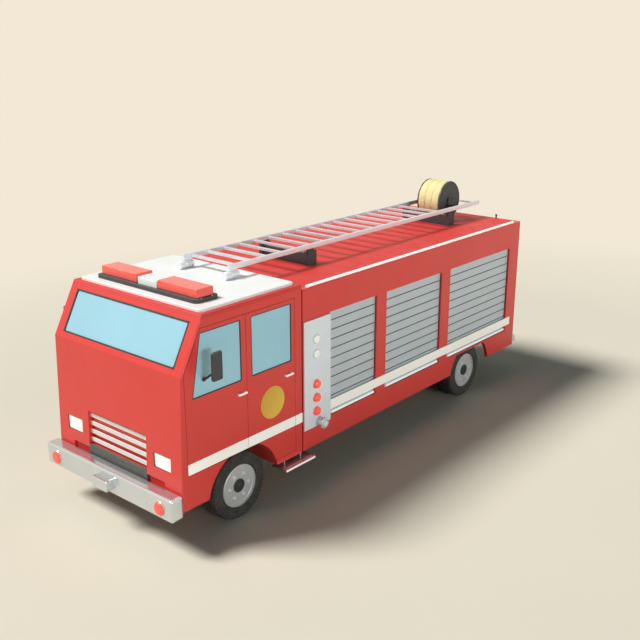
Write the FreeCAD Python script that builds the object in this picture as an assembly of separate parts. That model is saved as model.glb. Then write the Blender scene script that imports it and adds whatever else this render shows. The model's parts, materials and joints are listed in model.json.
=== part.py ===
import FreeCAD, Part
import math
import os
from FreeCAD import Vector

# A crew-cab fire engine in millimetres: +Z up, front towards -Y, its left side towards +X.
# The origin is on the ground under the middle of the whole vehicle.

# Layout from nose to tail
tow_box_proud = 105.0
front_overhang = 1245.0
wheelbase = 5500.0
cab_nose_to_axle = 985.0
axle_to_cab_back = 1125.0
cab_body_gap = 20.0
panel_bay_length = 555.0
bay_lengths = (1077.0, 1485.0)
bay_posts = (238.0, 250.0, 332.0)
rear_overhang = 1515.0
rear_bumper_depth = 140.0

# Width and heights
body_width = 2500.0
skirt_z = 560.0
body_top_z = 2880.0
cab_rise = 75.0
bend_share = 0.714
cab_lean = 65.0
roof_setback = 365.0

# Panels
cab_skin = 50.0
cab_wall = 60.0
body_wall = 60.0
roof_thick = 40.0
sheet = 20.0
edge_round = 16.0
overrun = 10.0
seat_gap = 0.3

# Wheels and arches
wheel_radius = 467.0
tyre_width = 280.0
tyre_inset = 90.0
tyre_height = 175.0
tyre_shoulder = 46.0
tyre_round = 12.0
twin_gap = 44.0
rim_wall = 12.0
rim_disc_thick = 16.0
rim_disc_setback = 26.0
rim_lip = 10.0
hub_radius = 92.0
hub_proud = 14.0
hub_depth = 150.0
hub_round = 6.0
spindle_radius = 44.0
running_gap = 0.05
arch_clearance = 163.0
arch_drop = 37.0
arch_rise = 66.0
arch_depth = 570.0
wheel_box_half_length = 540.0
wheel_box_side = 16.0

# Cream band along each side
band_above_bay = 105.0
band_height = 140.0
band_thick = 8.0

# Doors and windows
door_gap = 6.0
door_head = 149.0
rear_door_sill = 80.0
door_hinge_setback = 50.0
hinge_post = 36.0
middle_post_from_axle = 87.0
rear_door_end_from_axle = 980.0
window_sill_share = 0.5825
window_head = 205.0
window_corner = 22.0
pane_thick = 6.0
pane_setback = 10.0
front_window_nose = 824.0
front_window_slant = 154.0
front_window_tail = 1.0
rear_window_from = 175.0
rear_window_to = 915.0
post_width = 90.0
post_depth = 58.0
post_clearance = 12.0

# Windscreen
screen_side_margin = 160.0
screen_sill = 75.0
screen_head = 100.0
screen_corner = 40.0

# Headlamps, grille and the plates below it
headlamp_side_margin = 207.0
headlamp_width = 317.0
headlamp_low_z = 1003.0
headlamp_height = 201.0
headlamp_corner = 18.0
headlamp_setback = 9.0
headlamp_depth = 30.0
grille_lamp_gap = 136.0
grille_low_z = 905.0
grille_height = 467.0
grille_depth = 72.0
slat_count = 4
slat_pitch = 113.0
slat_height = 60.0
slat_thick = 16.0
slat_round = 5.0
slat_setback = 34.0
slat_first_drop = 33.0
apron_thick = 36.0
apron_low_z = 760.0
notch_past_lamp = 200.0
notch_top_z = 862.0
notch_depth = 30.0

# Steering
kingpin_inset = 280.0
kingpin_radius = 26.0
knuckle_half_height = 105.0
knuckle_radius = 55.0
knuckle_reach = 90.0
beam_eye_half_height = 60.0
steer_arm_length = 180.0
steer_arm_thick = 34.0
tie_rod_radius = 15.0
tie_pin_radius = 14.0
tie_pin_length = 66.0
tie_eye_radius = 32.0
tie_eye_height = 30.0

# Axles, springs, frame and engine
beam_depth = 100.0
beam_height = 84.0
beam_drop = 96.0
beam_neck = 30.0
rear_tube_radius = 62.0
banjo_radius = 170.0
banjo_half_width = 130.0
spring_width = 76.0
spring_half_length = 640.0
spring_leaf = 18.0
spring_leaves = 3
spring_sag = 50.0
seat_sink = 4.0
rail_inset = 855.0
rail_width = 70.0
rail_height = 210.0
rail_above_axle = 183.0
rail_web = 9.0
cross_member_count = 6
cross_member_depth = 90.0
carrier_low_z = 640.0
carrier_side_gap = 15.0
carrier_lap = 40.0
cab_mount_inset = 130.0
cab_mount_length = 80.0
engine_clearance = 40.0
engine_length = 1180.0
engine_above_rail = 50.0
engine_height = 630.0
engine_front_from_axle = -420.0

# Cab floor
floor_thick = 40.0
tunnel_clearance = 10.0
tunnel_rise = 70.0
tunnel_front_from_axle = -520.0
well_above_rail = 10.0

# Front bumper
bumper_past_side = 28.0
bumper_low_z = 500.0
bumper_height = 302.0
bumper_depth = 190.0
bumper_round = 34.0
tow_box_width = 300.0
tow_box_low_z = 565.0
tow_box_height = 150.0
tow_box_round = 18.0
bumper_lamp_inset = 222.0
bumper_lamp_z = 636.0
bumper_lamp_radius = 84.0
lamp_dome = 26.0

# Rear bumper and tail lamps
rear_bumper_inset = 20.0
rear_bumper_low_z = 600.0
rear_bumper_height = 112.0
tail_lamp_radius = 62.0
tail_lamp_inset = 130.0
tail_lamp_low_z = 900.0
tail_lamp_pitch = 170.0
tail_lamp_count = 3

# Rear towing jaw
jaw_half_width = 90.0
jaw_plate = 25.0
jaw_mouth = 36.0
jaw_low_z = 468.0
jaw_reach = 100.0
jaw_pin_setback = 45.0
jaw_pin_radius = 20.5

# Locker bays, shutters and lift bars
bay_above_rail = 45.0
bay_head = 435.0
bay_arch_gap = 20.0
rear_bay_margin = 430.0
shutter_setback = 38.0
shutter_thick = 22.0
shutter_pitch = 140.0
shutter_groove = 9.0
bar_radius = 20.0
bar_proud = 6.0
bar_above_sill = 41.0
bar_end_margin = 40.0
bar_stay_width = 26.0
locker_lip = 45.0

# Pump panels
pump_panel_proud = 25.0
pump_panel_foot = 43.0
pump_panel_head = 15.0
pump_panel_round = 8.0
panel_lamp_from_front = 240.0
white_lamp_shares = (0.818, 0.684)
white_lamp_radius = 58.0
white_lamp_proud = 22.0
red_lamp_shares = (0.407, 0.279, 0.152)
red_lamp_radius = 62.0
red_lamp_proud = 48.0
outlet_from_front = 300.0
outlet_rise = 63.0
outlet_radius = 50.0
outlet_cap_radius = 75.0
outlet_cap_thick = 42.0
outlet_length = 75.0

# Roof pad and light bar
pad_side_margin = 70.0
pad_front_setback = 48.0
pad_back_setback = 60.0
pad_thick = 36.0
pad_corner = 60.0
pad_round = 12.0
bar_side_margin = 210.0
bar_base_front = 165.0
bar_base_depth = 390.0
bar_base_height = 46.0
bar_base_corner = 60.0
lens_end_margin = 40.0
lens_gap = 17.0
lens_height = 112.0
lens_setback = 62.0
lens_depth = 270.0
lens_round = 14.0
bar_middle_half_width = 188.0
bar_middle_height = 88.0

# Roof side rails and knob
side_rail_radius = 19.0
side_rail_inset = 28.0
side_rail_margin = 95.0
side_rail_rear_margin = 222.0
side_rail_feet = 6
side_rail_foot_radius = 15.0
side_rail_foot_inset = 34.0
knob_radius = 13.0
knob_height = 68.0
knob_cap_radius = 20.0
knob_cap_height = 24.0
knob_inset_x = 480.0
knob_inset_y = 26.0

# Ladder, saddles and reel
rail_centre_x = 444.0
ladder_rail_width = 44.0
ladder_rail_height = 74.0
ladder_rail_round = 14.0
ladder_above_roof = 232.0
ladder_front_from_cab_back = -526.0
ladder_rear_margin = 122.0
rung_pitch = 304.0
rung_width = 50.0
rung_height = 32.0
rung_first = 155.0
rung_sink = 6.0
end_rung_margin = 90.0
reel_y_from_body_rear = 770.0
reel_above_roof = 357.0
reel_clear_half = 390.0
roller_radius = 54.0
roller_length = 240.0
roller_ahead = 83.0
roller_round = 8.0
roller_web = 20.0
front_saddle_from_body_front = 981.0
rear_saddle_from_reel = -422.0
saddle_beam_setback = 20.0
saddle_beam_depth = 100.0
saddle_beam_height = 175.0
saddle_lug_height = 205.0
saddle_lug_depth = 190.0
saddle_lug_width = 66.0
saddle_lug_past_rail = 20.0
rest_pad_width = 34.0
rest_pad_length = 120.0
pivot_radius = 20.0
pivot_depth = 34.0
stand_half_foot = 100.0
stand_half_head = 50.0
stand_thick = 16.0
stand_gap = 10.0
reel_disc_radius = 345.0
reel_disc_thick = 16.0
reel_disc_round = 5.0
reel_half_width = 222.0
reel_drum_radius = 90.0
reel_shaft_radius = 26.0
hose_radius = 343.0
hose_ridges = 3
hose_crown = 9.0

# Steps
step_inset = 125.0
step_width = 260.0
step_length = 600.0
step_thick = 26.0
step_drop = 54.0
step_front_from_axle = 640.0
step_stay = 12.0
step_stay_inset = 130.0
step_round = 8.0

# Mirrors
mirror_arm_radius = 15.0
mirror_arm_reach = 200.0
mirror_head_thick = 56.0
mirror_head_height = 360.0
mirror_head_depth = 160.0
mirror_head_round = 24.0
mirror_arm_nose = 623.0
mirror_arm_above_sill = 205.0
mirror_arm_rise = 150.0
mirror_arm_trail = 25.0
mirror_foot_radius = 27.0
mirror_foot_thick = 14.0
mirror_head_below = 120.0

# Cab inside
seat_width = 520.0
seat_depth = 500.0
seat_cushion = 140.0
seat_cushion_round = 35.0
seat_back_height = 700.0
seat_back_thick = 130.0
seat_back_round = 43.0
seat_base_height = 260.0
seat_base_inset = 65.0
seat_inset = 480.0
front_seat_from_axle = -420.0
rear_seat_inset = 420.0
rear_seat_height = 330.0
dash_below_sill = 75.0
dash_height = 380.0
dash_depth = 380.0
dash_knee_share = 0.67
dash_brow_share = 0.75
dash_face_height = 240.0
column_radius = 32.0
column_length = 300.0
steering_ring_radius = 225.0
steering_rim_radius = 16.0
steering_spoke_radius = 9.0
steering_hub_radius = 48.0
steering_hub_thick = 44.0
steering_tilt_deg = 35.0
steering_above_dash = 20.0
steering_from_axle = -560.0

# Heights worked out from the sizes above
cab_top_z = body_top_z + cab_rise
bend_z = skirt_z + bend_share * (cab_top_z - skirt_z)
pad_top_z = cab_top_z + pad_thick
roof_split_z = cab_top_z - cab_skin - overrun
tyre_bead_radius = wheel_radius - tyre_height
arch_radius = wheel_radius + arch_clearance
arch_centre_z = wheel_radius - arch_drop
arch_top_z = wheel_radius * 2 + arch_rise
rail_low_z = wheel_radius + rail_above_axle
bay_low_z = rail_low_z + rail_height + bay_above_rail
rear_arch_top_z = bay_low_z - bay_arch_gap
band_low_z = bay_low_z + band_above_bay
band_top_z = band_low_z + band_height
door_low_z = arch_top_z + door_gap
door_top_z = cab_top_z - door_head
rear_door_low_z = skirt_z + rear_door_sill
window_low_z = skirt_z + window_sill_share * (cab_top_z - skirt_z)
window_top_z = cab_top_z - window_head
screen_low_z = bend_z + screen_sill
screen_top_z = cab_top_z - screen_head
grille_top_z = grille_low_z + grille_height
bumper_top_z = bumper_low_z + bumper_height
bay_top_z = body_top_z - bay_head
bar_z = bay_low_z + bar_above_sill
locker_floor_z = bay_low_z - locker_lip
pump_panel_low_z = bay_low_z - pump_panel_foot
pump_panel_top_z = bay_top_z - pump_panel_head
floor_top_z = arch_top_z + floor_thick
well_floor_z = rail_low_z + well_above_rail
engine_low_z = rail_low_z + engine_above_rail
engine_top_z = engine_low_z + engine_height
tunnel_top_z = engine_top_z + tunnel_rise
dash_top_z = window_low_z - dash_below_sill
dash_low_z = dash_top_z - dash_height
steering_z = dash_top_z + steering_above_dash
ladder_low_z = body_top_z + ladder_above_roof
ladder_mid_z = ladder_low_z + ladder_rail_height / 2
reel_z = body_top_z + reel_above_roof

# Widths worked out from the sizes above
half_width = body_width / 2
tyre_outer_x = half_width - tyre_inset
tyre_inner_x = tyre_outer_x - tyre_width
twin_outer_x = tyre_inner_x - twin_gap
twin_inner_x = twin_outer_x - tyre_width - twin_gap
arch_inner_x = tyre_outer_x - arch_depth
kingpin_x = tyre_outer_x - kingpin_inset
rail_x = half_width - rail_inset
rail_inner_x = rail_x - rail_width / 2
rail_outer_x = rail_x + rail_width / 2
engine_half_width = rail_inner_x - engine_clearance
tunnel_half_width = rail_outer_x + tunnel_clearance
screen_half_width = half_width - screen_side_margin
headlamp_inner = half_width - headlamp_side_margin - headlamp_width
grille_half_width = headlamp_inner - grille_lamp_gap
notch_half_width = headlamp_inner + notch_past_lamp
bumper_half_width = half_width + bumper_past_side
bumper_lamp_x = bumper_half_width - bumper_lamp_inset
rear_bumper_half_width = half_width - rear_bumper_inset
tail_lamp_x = half_width - tail_lamp_inset
rear_bay_half_width = half_width - rear_bay_margin
pad_half_width = half_width - pad_side_margin
bar_half_length = pad_half_width - bar_side_margin
lens_inner = bar_middle_half_width + lens_gap
lens_outer = bar_half_length - lens_end_margin
side_rail_x = half_width - side_rail_inset
step_inner_x = half_width - step_inset
seat_x = half_width - seat_inset
rear_seat_x = half_width - rear_seat_inset
ladder_inner_x = rail_centre_x - ladder_rail_width / 2
ladder_outer_x = rail_centre_x + ladder_rail_width / 2

# Stations along the vehicle worked out from the sizes above
body_length = wheelbase + rear_overhang - axle_to_cab_back - cab_body_gap
last_bay_length = body_length - panel_bay_length - sum(bay_lengths) - sum(bay_posts)
overall_length = (tow_box_proud + front_overhang + wheelbase + rear_overhang
                  + rear_bumper_depth)
nose_y = -overall_length / 2
bumper_y = nose_y + tow_box_proud
front_axle_y = bumper_y + front_overhang
rear_axle_y = front_axle_y + wheelbase
cab_front_y = front_axle_y - cab_nose_to_axle
roof_front_y = cab_front_y + roof_setback
cab_back_y = front_axle_y + axle_to_cab_back
body_front_y = cab_back_y + cab_body_gap
body_rear_y = rear_axle_y + rear_overhang
door_split_y = front_axle_y + middle_post_from_axle
reel_y = body_rear_y - reel_y_from_body_rear
quarter_turn = 90.0


def box(x0, x1, y0, y1, z0, z1):
    """Block between two corners."""
    return Part.makeBox(x1 - x0, y1 - y0, z1 - z0, Vector(x0, y0, z0))


def rod_x(x0, x1, y, z, radius):
    """Round bar along X."""
    return Part.makeCylinder(radius, x1 - x0, Vector(x0, y, z), Vector(1, 0, 0))


def rod_y(x, y0, y1, z, radius):
    """Round bar along Y."""
    return Part.makeCylinder(radius, y1 - y0, Vector(x, y0, z), Vector(0, 1, 0))


def rod_z(x, y, z0, z1, radius):
    """Round bar along Z."""
    return Part.makeCylinder(radius, z1 - z0, Vector(x, y, z0), Vector(0, 0, 1))


def fuse(first, *others):
    """One solid from pieces that meet."""
    return first.multiFuse(list(others)).removeSplitter()


def cut(shape, *tools):
    """Shape without the tools."""
    return shape.cut(Part.makeCompound(list(tools)))


def mirrored(shape):
    """The same piece on the other side of the vehicle."""
    return shape.mirror(Vector(0, 0, 0), Vector(1, 0, 0))


def both_sides(shape):
    """The left piece and its right twin."""
    return [shape, mirrored(shape)]


def rectangle(u0, u1, v0, v1):
    """Anticlockwise rectangle as four corners."""
    return [(u0, v0), (u1, v0), (u1, v1), (u0, v1)]


def inset(outline, gap):
    """Anticlockwise outline with every side moved inward by gap."""
    moved = []
    for i, (u, v) in enumerate(outline):
        back_u, back_v = outline[i - 1]
        next_u, next_v = outline[(i + 1) % len(outline)]
        before = Vector(u - back_u, v - back_v, 0).normalize()
        after = Vector(next_u - u, next_v - v, 0).normalize()
        normals = Vector(-before.y - after.y, before.x + after.x, 0)
        corner = Vector(u, v, 0) + normals * (gap / (1 + before.dot(after)))
        moved.append((corner.x, corner.y))
    return moved


def rounded_wire(points, radius):
    """Closed wire through the points, each corner rounded by an arc."""
    corners = []
    for i, corner in enumerate(points):
        back = (points[i - 1] - corner).normalize()
        ahead = (points[(i + 1) % len(points)] - corner).normalize()
        half_angle = back.getAngle(ahead) / 2
        reach = radius / math.tan(half_angle)
        middle = (back + ahead).normalize() * (radius / math.sin(half_angle) - radius)
        corners.append((corner + back * reach, corner + middle, corner + ahead * reach))
    edges = []
    for i, (start, middle, end) in enumerate(corners):
        if radius > 0:
            edges.append(Part.Arc(start, middle, end).toShape())
        edges.append(Part.LineSegment(end, corners[(i + 1) % len(corners)][0]).toShape())
    return Part.Wire(edges)


def side_plate(outline, x0, x1, radius=0):
    """Plate with a Y-Z outline, from x0 to x1."""
    wire = rounded_wire([Vector(x0, y, z) for y, z in outline], radius)
    return Part.Face(wire).extrude(Vector(x1 - x0, 0, 0))


def front_plate(outline, y0, y1, radius=0):
    """Plate with an X-Z outline, from y0 to y1."""
    wire = rounded_wire([Vector(x, y0, z) for x, z in outline], radius)
    return Part.Face(wire).extrude(Vector(0, y1 - y0, 0))


def top_plate(outline, z0, z1, radius=0):
    """Plate with an X-Y outline, from z0 to z1."""
    wire = rounded_wire([Vector(x, y, z0) for x, y in outline], radius)
    return Part.Face(wire).extrude(Vector(0, 0, z1 - z0))


def round_edges(shape, radius, keep):
    """Fillet the edges that the test keep picks."""
    return shape.makeFillet(radius, [edge for edge in shape.Edges if keep(edge)])


def lies_along(edge, axis):
    """True for a straight edge along axis 0, 1 or 2."""
    spans = (edge.BoundBox.XLength, edge.BoundBox.YLength, edge.BoundBox.ZLength)
    return edge.Length - spans[axis] < seat_gap


def cab_front_at(z):
    """Y of the cab's front face at a height."""
    if z <= bend_z:
        return cab_front_y - cab_lean * (bend_z - z) / (bend_z - skirt_z)
    return cab_front_y + roof_setback * (z - bend_z) / (cab_top_z - bend_z)


def cab_outline(low_z):
    """Side view of the cab, open end at low_z."""
    return [(cab_front_at(low_z), low_z), (cab_back_y, low_z), (cab_back_y, cab_top_z),
            (roof_front_y, cab_top_z), (cab_front_y, bend_z)]


def cab_hull():
    """Outer form of the cab with its pressed edges rounded."""
    hull = side_plate(cab_outline(skirt_z), -half_width, half_width)
    return round_edges(hull, edge_round, lambda edge: edge.BoundBox.ZMax > skirt_z + overrun)


def cab_walls():
    """Cab skin as one hollow form, open below."""
    hollow = side_plate(inset(cab_outline(skirt_z - cab_skin * 2), cab_skin),
                        cab_wall - half_width, half_width - cab_wall)
    return cab_hull().cut(hollow)


def arch_space(axle_y, inner_x, top_z):
    """Space of a left wheel arch, round with a flat top."""
    drum = rod_x(inner_x, half_width + overrun, axle_y, arch_centre_z, arch_radius)
    return drum.common(box(inner_x, half_width + overrun, axle_y - arch_radius,
                           axle_y + arch_radius, 0, top_z))


def arch_liner(axle_y, inner_x, outer_x, top_z, low_z):
    """Curved sheet that lines a left wheel arch."""
    drum = rod_x(inner_x, outer_x, axle_y, arch_centre_z, arch_radius + sheet)
    drum = drum.common(box(inner_x, outer_x, axle_y - arch_radius - sheet,
                           axle_y + arch_radius + sheet, low_z, top_z))
    return drum.cut(arch_space(axle_y, inner_x - overrun, top_z + overrun))


def slant_y(z, margin):
    """Y of a line that runs a margin behind the cab's slanted corner."""
    return cab_front_at(z) + margin


def front_door_outline():
    """Front door seen from its left side."""
    hinge_y = cab_front_y + door_hinge_setback
    margin = hinge_post + door_gap
    slant = roof_setback / (cab_top_z - bend_z)
    turn_z = bend_z + (door_hinge_setback - margin) / slant
    top_z = door_top_z - door_gap
    return [(hinge_y, door_low_z), (door_split_y - door_gap / 2, door_low_z),
            (door_split_y - door_gap / 2, top_z), (slant_y(top_z, margin), top_z), (hinge_y, turn_z)]


def rear_door_outline():
    """Rear door seen from its left side, before the wheel arch is taken out."""
    return rectangle(door_split_y + door_gap / 2, front_axle_y + rear_door_end_from_axle,
                     rear_door_low_z, door_top_z - door_gap)


def front_window_outline():
    """Front door window."""
    nose = front_axle_y - front_window_nose
    tail = front_axle_y - front_window_tail
    return [(nose, window_low_z), (tail, window_low_z), (tail, window_top_z),
            (nose + front_window_slant, window_top_z)]


def rear_window_outline():
    """Rear door window."""
    return rectangle(front_axle_y + rear_window_from, front_axle_y + rear_window_to,
                     window_low_z, window_top_z)


def door_leaf(outline, window):
    """Left door cut from the cab wall, with its window."""
    block = side_plate(outline, half_width - cab_wall, half_width + overrun)
    leaf = cab_hull().common(block)
    opening = side_plate(window, half_width - cab_wall - overrun, half_width + overrun, window_corner)
    return cut(leaf, opening, arch_space(front_axle_y, arch_inner_x, door_low_z))


def pane(window):
    """Left side window glass, seated in its rebate."""
    outer_x = half_width - pane_setback
    return side_plate(inset(window, seat_gap), outer_x - pane_thick, outer_x, window_corner - seat_gap)


def screen_slab(low_z, top_z, half_span, depth_from, depth_to, radius):
    """Slab parallel to the slanted cab front."""
    up = Vector(0, roof_setback, cab_top_z - bend_z).normalize()
    inward = Vector(0, up.z, -up.y)
    low = Vector(0, cab_front_at(low_z), low_z) + inward * depth_from
    top = Vector(0, cab_front_at(top_z), top_z) + inward * depth_from
    side = Vector(half_span, 0, 0)
    wire = rounded_wire([low - side, low + side, top + side, top - side], radius)
    return Part.Face(wire).extrude(inward * (depth_to - depth_from))


def cab_shell():
    """Cab body without roof and doors: walls, posts, floor, tunnel, arches and grille pan."""
    inner_x = half_width - cab_wall
    walls = cab_walls()
    openings = [
        side_plate(inset(front_door_outline(), -door_gap), inner_x, half_width + overrun),
        side_plate(inset(rear_door_outline(), -door_gap), inner_x, half_width + overrun)]
    walls = cut(walls, *openings)
    walls = cut(walls, *[mirrored(opening) for opening in openings])
    floor_front = cab_front_at(arch_top_z) + cab_skin
    floor_back = cab_back_y - cab_skin
    step_y = front_axle_y + arch_radius / 2
    floor = box(-inner_x, inner_x, floor_front, step_y, arch_top_z - overrun, floor_top_z)
    well = box(tunnel_half_width, inner_x, front_axle_y + arch_radius * math.cos(math.pi / 8),
               floor_back, well_floor_z, well_floor_z + floor_thick)
    liner = arch_liner(front_axle_y, arch_inner_x, inner_x, floor_top_z, skirt_z)
    riser = side_plate([(front_axle_y + arch_radius, well_floor_z),
                        (front_axle_y + arch_radius + sheet, well_floor_z),
                        (step_y + sheet, floor_top_z), (step_y - sheet, floor_top_z),
                        (step_y - sheet, arch_top_z)],
                       tunnel_half_width, arch_inner_x)
    tunnel = box(-tunnel_half_width - sheet, tunnel_half_width + sheet,
                 front_axle_y + tunnel_front_from_axle, floor_back, well_floor_z, tunnel_top_z)
    tunnel_space = box(-tunnel_half_width, tunnel_half_width,
                       front_axle_y + tunnel_front_from_axle + sheet, floor_back,
                       0, tunnel_top_z - sheet)
    under_floor = box(-tunnel_half_width - sheet - overrun, tunnel_half_width + sheet + overrun,
                      front_axle_y + tunnel_front_from_axle - overrun, step_y, 0, arch_top_z)
    post_x = inner_x - post_clearance
    post = box(post_x - post_depth, post_x, door_split_y - post_width / 2,
               door_split_y + post_width / 2, arch_top_z, roof_split_z)
    post_head = box(post_x - post_depth, half_width - edge_round, door_split_y - post_width / 2,
                    door_split_y + post_width / 2, door_top_z + overrun, roof_split_z)
    tunnel = cut(tunnel, under_floor)
    shell = fuse(walls, floor, tunnel, grille_pan(),
                 *(both_sides(well) + both_sides(liner) + both_sides(riser)
                   + both_sides(post) + both_sides(post_head)))
    rail_pass = box(-tunnel_half_width, tunnel_half_width, floor_back - overrun,
                    cab_back_y + overrun, 0, rail_low_z + rail_height + sheet)
    shell = cut(shell, tunnel_space, rail_pass,
                *both_sides(arch_space(front_axle_y, arch_inner_x, arch_top_z)))
    shell = cut(shell, screen_slab(screen_low_z, screen_top_z, screen_half_width,
                                   -overrun * 2, cab_skin + overrun * 2, screen_corner))
    return cut(shell, *(front_openings() + [box(-body_width, body_width, nose_y, body_front_y,
                                                roof_split_z, cab_top_z + overrun)]))


def recess_back_y():
    """Y of the back of the grille recess."""
    return cab_front_at(grille_low_z) + grille_depth


def grille_pan():
    """Block behind the cab front that the grille recess is sunk into."""
    return box(-grille_half_width - sheet, grille_half_width + sheet,
               cab_front_at(grille_low_z) + cab_skin / 2, recess_back_y() + sheet,
               grille_low_z - sheet, grille_top_z + sheet)


def front_openings():
    """Grille recess, apron opening, shallow notches and headlamp holes in the cab front."""
    front = cab_front_at(skirt_z) - overrun
    recess = front_plate(rectangle(-grille_half_width, grille_half_width, grille_low_z, grille_top_z),
                         front, recess_back_y())
    throat = front_plate(rectangle(-grille_half_width, grille_half_width, 0, grille_low_z - sheet),
                         front, recess_back_y() + sheet + overrun)
    apron_seat = front_plate(rectangle(-grille_half_width, grille_half_width,
                                       grille_low_z - sheet - overrun, grille_low_z),
                             front, apron_back_y() + seat_gap)
    notch = side_plate([(front, 0), (cab_front_at(0) + notch_depth, 0),
                        (cab_front_at(notch_top_z) + notch_depth, notch_top_z), (front, notch_top_z)],
                       grille_half_width - overrun, notch_half_width)
    lamp = front_plate(headlamp_outline(), front,
                       cab_front_at(headlamp_low_z) + cab_skin + overrun, headlamp_corner)
    return [recess, throat, apron_seat] + both_sides(notch) + both_sides(lamp)


def headlamp_outline():
    """Left headlamp from the front."""
    return rectangle(headlamp_inner, headlamp_inner + headlamp_width,
                     headlamp_low_z, headlamp_low_z + headlamp_height)


def cab_roof():
    """Roof pressing that closes the cab."""
    return cab_walls().common(box(-body_width, body_width, nose_y, body_front_y,
                                  roof_split_z, cab_top_z + overrun))


def roof_pad():
    """White pad that covers the cab roof."""
    outline = rectangle(-pad_half_width, pad_half_width,
                        roof_front_y + pad_front_setback, cab_back_y - pad_back_setback)
    pad = top_plate(outline, cab_top_z, pad_top_z, pad_corner)
    return round_edges(pad, pad_round, lambda edge: edge.BoundBox.ZMin > pad_top_z - seat_gap)


def grille():
    """Four slats across the recess of the cab front."""
    slats = []
    for i in range(slat_count):
        top = grille_top_z - slat_first_drop - slat_pitch * i
        face_y = cab_front_at(top) + slat_setback
        slat = box(seat_gap - grille_half_width, grille_half_width - seat_gap,
                   face_y, face_y + slat_thick, top - slat_height, top)
        slats.append(round_edges(slat, slat_round, lambda edge: lies_along(edge, 0)))
    return slats


def front_apron():
    """Dark plate below the slats, flush with the leaning cab front."""
    top = grille_low_z - seat_gap
    back = apron_back_y()
    outline = [(cab_front_at(apron_low_z), apron_low_z), (back, apron_low_z), (back, top),
               (cab_front_at(top), top)]
    return side_plate(outline, seat_gap - grille_half_width, grille_half_width - seat_gap)


def apron_back_y():
    """Y of the back of the apron."""
    return cab_front_at(grille_low_z) + apron_thick


def headlamps():
    """Square headlamps, set a little into the cab front."""
    outline = inset(headlamp_outline(), seat_gap)
    front = cab_front_at(headlamp_low_z + headlamp_height) + headlamp_setback
    lamp = front_plate(outline, front, front + headlamp_depth, headlamp_corner - seat_gap)
    return both_sides(lamp)


def windscreen():
    """Windscreen glass, seated in its rebate."""
    return screen_slab(screen_low_z + seat_gap, screen_top_z - seat_gap, screen_half_width - seat_gap,
                       pane_setback, pane_setback + pane_thick, screen_corner)


def front_bumper():
    """Bumper bar with rounded ends and the box in its middle."""
    bar = box(-bumper_half_width, bumper_half_width, bumper_y, bumper_y + bumper_depth,
              bumper_low_z, bumper_top_z)
    bar = bar.makeFillet(bumper_round, bar.Edges)
    tow_box = box(-tow_box_width / 2, tow_box_width / 2, nose_y, bumper_y + bumper_round,
                  tow_box_low_z, tow_box_low_z + tow_box_height)
    tow_box = round_edges(tow_box, tow_box_round,
                          lambda edge: edge.BoundBox.YMin < bumper_y)
    return fuse(bar, tow_box)


def rear_bumper():
    """Full-width rear bumper and step."""
    bar = box(-rear_bumper_half_width, rear_bumper_half_width, body_rear_y,
              body_rear_y + rear_bumper_depth, rear_bumper_low_z,
              rear_bumper_low_z + rear_bumper_height)
    return bar.makeFillet(edge_round, bar.Edges)


def lamp_along(centre, direction, radius, proud):
    """Round lens with a domed face."""
    cylinder = Part.makeCylinder(radius, proud, centre, direction)
    rim = [edge for edge in cylinder.Edges if edge.Closed
           and (edge.CenterOfMass - centre).dot(direction) > proud / 2]
    return cylinder.makeFillet(proud / 2, rim)


def red_lamps():
    """Red round lamps: bumper, pump panels and tail."""
    lamps = both_sides(lamp_along(Vector(bumper_lamp_x, bumper_y, bumper_lamp_z),
                                  Vector(0, -1, 0), bumper_lamp_radius, lamp_dome))
    for share in red_lamp_shares:
        lamps += both_sides(lamp_along(panel_lamp_place(share), Vector(1, 0, 0),
                                       red_lamp_radius, red_lamp_proud))
    for i in range(tail_lamp_count):
        place = Vector(tail_lamp_x, body_rear_y, tail_lamp_low_z + tail_lamp_pitch * i)
        lamps += both_sides(lamp_along(place, Vector(0, 1, 0), tail_lamp_radius, lamp_dome))
    return lamps


def panel_lamp_place(height_share):
    """Place of a lamp on the left pump panel at a share of the panel's height."""
    return Vector(half_width + pump_panel_proud, body_front_y + panel_lamp_from_front,
                  pump_panel_low_z + (pump_panel_top_z - pump_panel_low_z) * height_share)


def white_lamps():
    """White lamps of the pump panels."""
    lamps = []
    for share in white_lamp_shares:
        lamps += both_sides(lamp_along(panel_lamp_place(share), Vector(1, 0, 0),
                                       white_lamp_radius, white_lamp_proud))
    return lamps


def light_bar_base():
    """Black base of the light bar on the roof pad."""
    front = roof_front_y + bar_base_front
    outline = rectangle(-bar_half_length, bar_half_length, front, front + bar_base_depth)
    return top_plate(outline, pad_top_z, pad_top_z + bar_base_height, bar_base_corner)


def light_bar_block(x0, x1, height):
    """Block with rounded upper edges on the light bar base."""
    low_z = pad_top_z + bar_base_height
    front = roof_front_y + bar_base_front + lens_setback
    block = box(x0, x1, front, front + lens_depth, low_z, low_z + height)
    return round_edges(block, lens_round, lambda edge: edge.BoundBox.ZMax > low_z + lens_round)


def light_bar_lenses():
    """Red lenses of the light bar."""
    return both_sides(light_bar_block(lens_inner, lens_outer, lens_height))


def light_bar_middle():
    """White middle of the light bar."""
    return light_bar_block(-bar_middle_half_width, bar_middle_half_width, bar_middle_height)


def bay_spans():
    """Front and rear end of each locker bay along Y."""
    spans = []
    start = body_front_y + panel_bay_length
    for length, post in zip(bay_lengths + (last_bay_length,), bay_posts):
        spans.append((start, start + length))
        start += length + post
    return spans


def body_side():
    """Left side wall of the body with its bays and wheel arch."""
    wall = box(half_width - body_wall, half_width, body_front_y, body_rear_y, skirt_z, body_top_z)
    wall = round_edges(wall, edge_round,
                       lambda edge: edge.BoundBox.XMin > half_width - overrun)
    bays = [box(half_width - body_wall - overrun, half_width + overrun, y0, y1, bay_low_z, bay_top_z)
            for y0, y1 in bay_spans()]
    return cut(wall, arch_space(rear_axle_y, arch_inner_x, rear_arch_top_z), *bays)


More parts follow.
